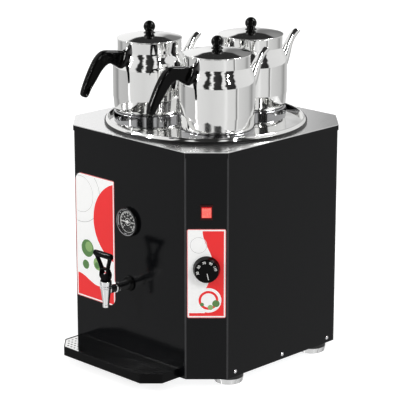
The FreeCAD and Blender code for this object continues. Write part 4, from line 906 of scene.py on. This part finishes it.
# %% [markdown]
# ## Rocker switch
#
# The rocker is a red lens with a small lamp behind it. The lamp makes it glow pink in the middle,
# in a fine pattern of prisms, and a red edge runs round it. The glow is emission, kept low, and
# the pattern comes from a wave. The switch's housing is a very dark red.

# %% Rocker
lens = material("red_lens")
prisms = lens.node("TexWave", {"wave_type": "BANDS", "bands_direction": "Z"}, {
    "Vector": lens.spot(), "Scale": 140.0, "Distortion": 0.5})
cells = lens.node("TexVoronoi", {}, {"Vector": lens.spot(), "Scale": 420.0})
ROCKER_HEIGHT = 374.5
sideways = abs((lens.axis("X") + lens.axis("Y")) * (1000 * half))
upward = abs(lens.axis("Z") * 1000 - ROCKER_HEIGHT)
frame_of_lens = sideways.most(upward) > 9.3
glowing = lens.blend(prisms * 0.5 + cells * 0.6, (0.95, 0.10, 0.08, 1), (1.0, 0.42, 0.34, 1))
lens.surface({
    "Base Color": lens.blend(frame_of_lens, lens.blend(
        cells, (0.55, 0.02, 0.02, 1), (0.85, 0.10, 0.08, 1)), (0.50, 0.012, 0.014, 1)),
    "Roughness": 0.18 + 0.1 * cells,
    "Emission Color": lens.blend(frame_of_lens, glowing, (0.35, 0.0, 0.0, 1)),
    "Emission Strength": 0.45,
    "Normal": lens.bump(prisms, 0.00005),
})
dress(lens.owner, "switch_rocker")
dress(moulded("switch_frame", (0.030, 0.002, 0.002, 1), 0.25, 0.1, 900, 0.000006, 0.2),
      "switch_housing", bevel=0.0004)
print("the rocker glows")

# %% [markdown]
# ## Thermometer
#
# A dial thermometer: a black case with a chrome inner ring darkened as a painted dark reflection, a
# dark dial with a broad pale scale, a white hub and needle, and a flat glass. The scale is made of
# thin pieces, one bar per mark, and the numbers on it are text.

# %% Dial
meter_at = Matrix(((1, 0, 0, 0), (0, 0, -1, -225), (0, 1, 0, 321), (0, 0, 0, 1)))
bars = []
for step in range(61):
    long_mark = step % 5 == 0
    bar = strip_of(1.3 if long_mark else 0.5, 17.0 if long_mark else 19.0, 21.8, 0.15)
    turn = Matrix.Rotation(math.radians(225 - 4.5 * step), 4, "Z")
    bars.append(([turn @ point for point in bar[0]], bar[1]))
raised = meter_at @ Matrix.Translation((0, 0, 2.8))
piece("dial_marks", together(bars), printed, "cabinet", (), raised)
for radius, width in ((22.2, 0.7), (7.5, 0.9)):
    band = turned([(radius - width / 2, 0), (radius + width / 2, 0), (radius + width / 2, 0.1),
                   (radius - width / 2, 0.1)])
    piece("dial_band_%d" % radius, band, printed, "cabinet", (), raised)
for step in range(7):
    angle = math.radians(225 - 45 * step)
    spot = raised @ Matrix.Translation((13.2 * math.cos(angle), 13.2 * math.sin(angle), 0.1))
    writing("dial_number_%d" % (20 * step), str(20 * step), 4.4, spot, "cabinet")
glass = material("meter_glass")
dust = glass.noise(300, 3)
glass.surface({
    "Base Color": glass.blend(dust, (0.8, 0.82, 0.82, 1), (0.9, 0.92, 0.92, 1)),
    "Roughness": 0.03 + 0.04 * dust,
    "Alpha": 0.015 + 0.01 * dust,
    "Specular IOR Level": 0.12,
})
dress(glass.owner, "thermometer_glass")
print("a dial with 61 marks and 7 numbers")

# %% [markdown]
# ## Bezel and hub of the thermometer
#
# A thin chrome ring sits just inside the glass, darkened as a painted dark reflection, and a white
# cap covers the needle's hub.
# Both are turned pieces. The ring stays with the case and the cap rides on the needle.

# %% Bezel and hub
ring_form = turned([(24.9, 5.3), (26.8, 8.05), (28.2, 8.3), (27.6, 7.9), (25.2, 5.2)])
piece("bezel_ring", ring_form, painted_dark_chrome, "cabinet", (), meter_at)
hub = turned([(0, 3.3), (3.7, 3.3), (3.7, 4.3), (3.3, 4.6), (0, 4.6)])
piece("needle_hub", hub, white_paint, "needle", (), meter_at)
print("the bezel has its ring and the needle its cap")

# %% [markdown]
# ## Labels
#
# Two vinyl stickers carry colour and simple shapes: a thin red outline, a white edge, and a field
# where red sweeps over white, with a few green drops and pale rings. All of it is drawn by the
# finish: a shape is a comparison of coordinates, which gives one inside and zero outside.

# %% Printed vinyl


def disc(across, height, x, z, radius):
    """One inside a circle, zero outside, in millimetres."""
    return ((across - x) * (across - x) + (height - z) * (height - z)) ** 0.5 < radius


RED = (0.84, 0.030, 0.032, 1)
PINK = (0.80, 0.22, 0.22, 1)
WHITE = (0.93, 0.93, 0.92, 1)


def sticker(across, box, layers):
    """A label finish: outline, white edge, then layers of (mask, colour) on a white field."""
    left, right, low, high = box
    finish = layers[0][0].finish
    height = finish.axis("Z") * 1000
    edge = abs(across - (left + right) / 2) - (right - left) / 2
    edge = edge.most(abs(height - (low + high) / 2) - (high - low) / 2)
    colour = WHITE
    for mask, shade in layers:
        colour = finish.blend(mask, colour, shade)
    colour = finish.blend(edge > -4.0, colour, WHITE)
    colour = finish.blend(edge > -1.5, colour, PINK)
    fleck = finish.noise(600, 2)
    finish.surface({
        "Base Color": colour,
        "Roughness": 0.28 + 0.08 * fleck,
        "Specular IOR Level": 0.3,
        # The faint emission of the label's own colours is painted light: it makes the vinyl brighter
        # than the lamps alone light it.
        "Emission Color": colour,
        "Emission Strength": 0.13,
        "Normal": finish.bump(fleck, 0.000004),
    })
    return finish.owner


front = material("label_vinyl")
x = front.axis("X") * 1000
z = front.axis("Z") * 1000
LEAF = (0.10, 0.22, 0.07, 1)
YOUNG_LEAF = (0.26, 0.42, 0.16, 1)
PALE = (0.60, 0.60, 0.60, 1)
wave = (x * 0.05).maths("SINE", x * 0.05) * 9
dress(sticker(x, (-163, -43.5, 125, 398), [
    (disc(x, z, -148, 352, 62) - disc(x, z, -148, 352, 60), PALE),
    (disc(x, z, -148, 352, 40) - disc(x, z, -148, 352, 38.6), PALE),
    (disc(x, z, -20, 306, 88), RED),
    (z + wave < 168, RED),
    (disc(x, z, -128, 236, 19), LEAF),
    (disc(x, z, -124, 240, 11), YOUNG_LEAF),
    (disc(x, z, -96, 208, 14), YOUNG_LEAF),
    (disc(x, z, -99, 204, 7), LEAF),
    (disc(x, z, -134, 199, 10), LEAF),
]), "front_label")
corner = material("label_vinyl_corner")
x = (corner.axis("X") + corner.axis("Y")) * (1000 * half)
z = corner.axis("Z") * 1000
wave = (z * 0.042).maths("SINE", z * 0.042) * 11
dress(sticker(x, (-39, 39, 152.6, 339.6), [
    (x + wave > 3, RED),
    (z < 163, RED),
    (disc(x, z, -16, 306, 17) - disc(x, z, -16, 306, 15.8), PALE),
    (disc(x, z, 4, 190, 26), WHITE),
    (disc(x, z, 4, 190, 20), RED),
    (disc(x, z, 4, 190, 15), WHITE),
    (disc(x, z, 19, 183, 7.5), LEAF),
    (disc(x, z, 8, 175, 5.5), YOUNG_LEAF),
    (disc(x, z, -9, 181, 4), LEAF),
]), "control_label")
print("two labels in red, white and green")
